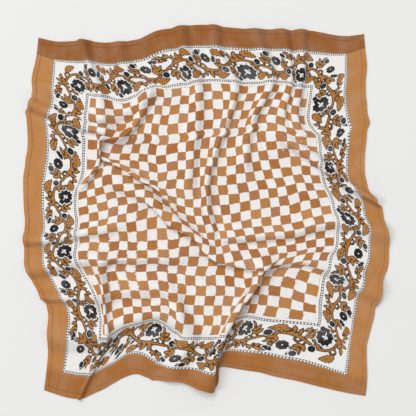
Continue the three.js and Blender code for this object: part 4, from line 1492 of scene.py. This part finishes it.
@dataclass
class Studio:
    """Pale floor, soft light from above, and a camera straight over the cloth."""

    floor: str = "#EBEBEA"
    half: float = 4.0
    gap: float = 0.0003
    sky: float = 0.50
    sensor: float = 36.0

    def build(self) -> None:
        """Builds the floor, the lights and the camera."""
        scene = bpy.context.scene
        scene.view_settings.view_transform = "Standard"
        mesh = bpy.data.meshes.new("floor")
        corners = [(x * self.half, y * self.half, -self.gap) for x, y in ((-1, -1), (1, -1), (1, 1), (-1, 1))]
        mesh.from_pydata(corners, [], [(0, 1, 2, 3)])
        floor = bpy.data.objects.new("floor", mesh)
        scene.collection.objects.link(floor)
        made = bpy.data.materials.new("pale_floor")
        made.use_nodes = True
        shader = made.node_tree.nodes["Principled BSDF"]
        shader.inputs["Base Color"].default_value = linear(self.floor)
        shader.inputs["Roughness"].default_value = 0.9
        shader.inputs["Specular IOR Level"].default_value = 0.1
        mesh.materials.append(made)

        world = bpy.data.worlds.new("studio")
        scene.world = world
        world.use_nodes = True
        background = world.node_tree.nodes["Background"]
        background.inputs["Color"].default_value = (1, 1, 1, 1)
        background.inputs["Strength"].default_value = self.sky
        self.lamp("sky_panel", (-1.6, 3.4, 6.2), 3.0, 225.0)
        self.lamp("side_panel", (-5.0, -0.4, 5.4), 2.6, 115.0)

        camera = bpy.data.cameras.new("camera")
        camera.sensor_width = self.sensor
        camera.lens = self.sensor * EYE_HEIGHT / VIEW_WIDTH
        holder = bpy.data.objects.new("camera", camera)
        holder.location = (-CENTRE_X * MM, -CENTRE_Y * MM, EYE_HEIGHT * MM)
        scene.collection.objects.link(holder)
        scene.camera = holder

    def lamp(self, name: str, place: tuple[float, float, float], size: float, power: float) -> None:
        """Adds one soft panel that looks at the cloth."""
        data = bpy.data.lights.new(name, "AREA")
        data.shape = "DISK"
        data.size = size
        data.energy = power
        lamp = bpy.data.objects.new(name, data)
        lamp.location = place
        lamp.rotation_mode = "QUATERNION"
        lamp.rotation_quaternion = Vector(place).to_track_quat("Z", "Y")
        bpy.context.scene.collection.objects.link(lamp)


def report(piece: bpy.types.Object) -> None:
    """Logs what a piece holds."""
    low, high = np.array(piece.bound_box).min(0), np.array(piece.bound_box).max(0)
    triangles = sum(len(p.vertices) - 2 for p in piece.data.polygons)
    log.info("%s: %d triangles, %s mm", piece.name, triangles, ((high - low) / MM).round(1).tolist())


def main() -> None:
    """Builds the bandana and its studio, and reports each piece."""
    logging.basicConfig(level=logging.INFO, format="%(message)s")
    Studio().build()
    lie = ClothLie()
    cloth = Bandana(lie).build()
    stitching = HemStitching(lie).build()
    for piece in (cloth, stitching):
        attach(piece, "root")
        report(piece)
    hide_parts("cloth")


if __name__ == "__main__":
    main()
